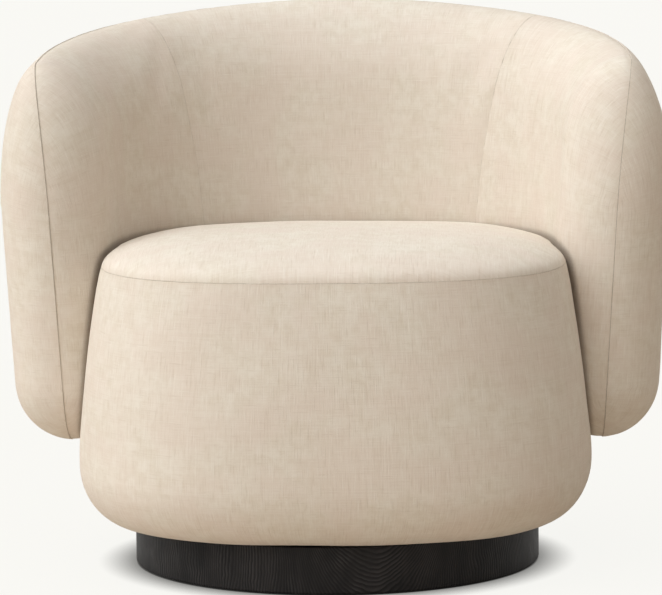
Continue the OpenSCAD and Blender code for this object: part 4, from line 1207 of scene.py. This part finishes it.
def finish_everything(pieces):
    """Gives the upholstery its linen, and each carried-over node of the frame its own finish."""
    new_group(plain_weave, Yarn_Pitch=0.0009, Waver=0.35)
    new_group(slub_yarns, Streak_Width=0.0013, Streak_Length=0.022)
    new_group(seam_line, Seam_Distance=1.0)
    new_group(pressed_fibres, Fibre_Size=0.0006)
    new_group(wood_figure, Distance=0.0, Ring_Pitch=0.0035, Pore_Scale=900.0)
    new_group(metal_marks)
    new_group(ply_layers, Layer_Place=0.0, Face=1.0, Layer=0.0014)
    linen = new_material("oatmeal_linen", oatmeal_linen)
    for piece in pieces.values():
        piece.data.materials.clear()
        piece.data.materials.append(linen)
    finishes = {
        ("birch_plywood_flat", birch_plywood, False): (
            "plinth_board", "seat_board", "seat_ring", "shell_bottom_rail", "shell_top_rail"),
        ("birch_plywood_upright", birch_plywood, True): (
            "plinth_glue_blocks", "seat_posts", "shell_ribs", "shell_spacers"),
        ("brown_hardboard", hardboard): ("drum_lining_board", "inner_lining_board", "outer_lining_board"),
        ("zinc_plated_steel", steel, ZINC_BRIGHT, ZINC_DULL, 0.28, 0.55, 0.00004): (
            "swivel_lower_plate", "swivel_pin", "plinth_screws", "swivel_upper_plate", "seat_bolts", "tee_nuts",
            "shell_bolts", "cross_dowels"),
        ("polished_bearing_steel", steel, STEEL_BRIGHT, STEEL_DULL, 0.10, 0.26, 0.00001): ("bearing_balls",),
        ("black_stained_oak", stained_oak): ("plinth_ring",),
        ("black_glide_felt", black_fibres, FELT_DARK, FELT_PALE, 0.0007, 0.0004): ("glide_ring",),
        ("nonwoven_dust_cloth", black_fibres, CLOTH_DARK, CLOTH_PALE, 0.0004, 0.0001, 0.0018): ("dust_cover",),
        ("moulded_nylon", cage_nylon): ("ball_cage",),
        ("webbing_along_x", elastic_webbing, 0): ("webbing_across",),
        ("webbing_along_y", elastic_webbing, 1): ("webbing_front_to_back",),
    }
    for recipe, names in finishes.items():
        finish = new_material(*recipe)
        for name in names:
            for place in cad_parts[name].material_slots:
                place.material = finish


# ---- camera, light, floor

def camera():
    data = bpy.data.cameras.new("photo_camera")
    data.sensor_width, data.lens, data.shift_x = SENSOR_WIDTH, LENS, LENS_SHIFT
    eye = new_object("photo_camera", data)
    across, ahead = math.sin(CAMERA_TURN), math.cos(CAMERA_TURN)
    eye.location = (CAMERA_DISTANCE * across, -CAMERA_DISTANCE * ahead, CAMERA_HEIGHT)
    look = Vector((-across * math.cos(CAMERA_PITCH), ahead * math.cos(CAMERA_PITCH), -math.sin(CAMERA_PITCH)))
    turned = look.to_track_quat("-Z", "Y").to_matrix() @ Matrix.Rotation(CAMERA_ROLL, 3, "Z")
    eye.rotation_euler = turned.to_euler()
    bpy.context.scene.camera = eye


def seen_rays(nodes):
    """1 for the rays that show the background: to the camera, in reflections and through glass."""
    path = nodes.node("ShaderNodeLightPath").outputs
    seen, mirrored, passed = (Wire(nodes, path[f"Is {kind} Ray"]) for kind in ("Camera", "Glossy", "Transmission"))
    return nodes.math("MAXIMUM", seen, nodes.math("MAXIMUM", mirrored, passed))


def lights():
    for name, strength, spread_angle, toward in STUDIO_LIGHTS:
        sun = bpy.data.lights.new(name, "SUN")
        sun.energy = strength * math.pi
        sun.angle = math.radians(spread_angle)
        sun.color = LIGHT_COLOUR
        new_object(name, sun).rotation_euler = Vector(toward).normalized().to_track_quat("Z", "Y").to_euler()
    world = bpy.data.worlds.new("studio")
    bpy.context.scene.world = world
    world.use_nodes = True
    nodes = Nodes(world.node_tree)
    rays = seen_rays(nodes)
    nodes.feed(nodes.tree.nodes["Background"], {
        "Color": nodes.blend(rays, ROOM_COLOUR, BACKDROP),
        "Strength": nodes.math("MULTIPLY_ADD", rays, 1 - ROOM_LIGHT, ROOM_LIGHT),
    })


def floor_finish(nodes):
    """Plain and pale. Most of what the camera sees of it is a glow, so that only a soft shadow is left, and near
    the chair the glow is darkened by a painted contact shadow.
    """
    nodes.shade(Base_Color=FLOOR_LIT, Roughness=1.0, Specular_IOR_Level=0.0)
    # painted shadow: the glow darkens where little open sky is left near the plinth
    painted_shadow = nodes.math("POWER", nodes.open_sky(PAINTED_SHADOW_REACH, 16), PAINTED_SHADOW_DARKNESS)
    seen = nodes.blend(painted_shadow, (0, 0, 0, 1), FLOOR_SEEN)
    glow = nodes.out("ShaderNodeEmission", 0, {"Color": seen, "Strength": 1.0})
    lit = Wire(nodes, nodes.tree.nodes["Principled BSDF"].outputs[0])
    mixed = nodes.out("ShaderNodeMixShader", 0, {0: seen_rays(nodes) * FLOOR_GLOW, 1: lit, 2: glow})
    nodes.feed(nodes.tree.nodes["Material Output"], {"Surface": mixed})


def floor():
    mesh = bpy.data.meshes.new("studio_floor")
    corners = [(FLOOR_REACH * x, FLOOR_REACH * y, 0) for x, y in ((-1, -1), (1, -1), (1, 1), (-1, 1))]
    mesh.from_pydata(corners, [], [(0, 1, 2, 3)])
    mesh.materials.append(new_material("studio_floor", floor_finish))
    ground = new_object("studio_floor", mesh)


pieces = upholstery()
finish_everything(pieces)
camera()
lights()
floor()
bpy.context.scene.view_settings.view_transform = "Standard"
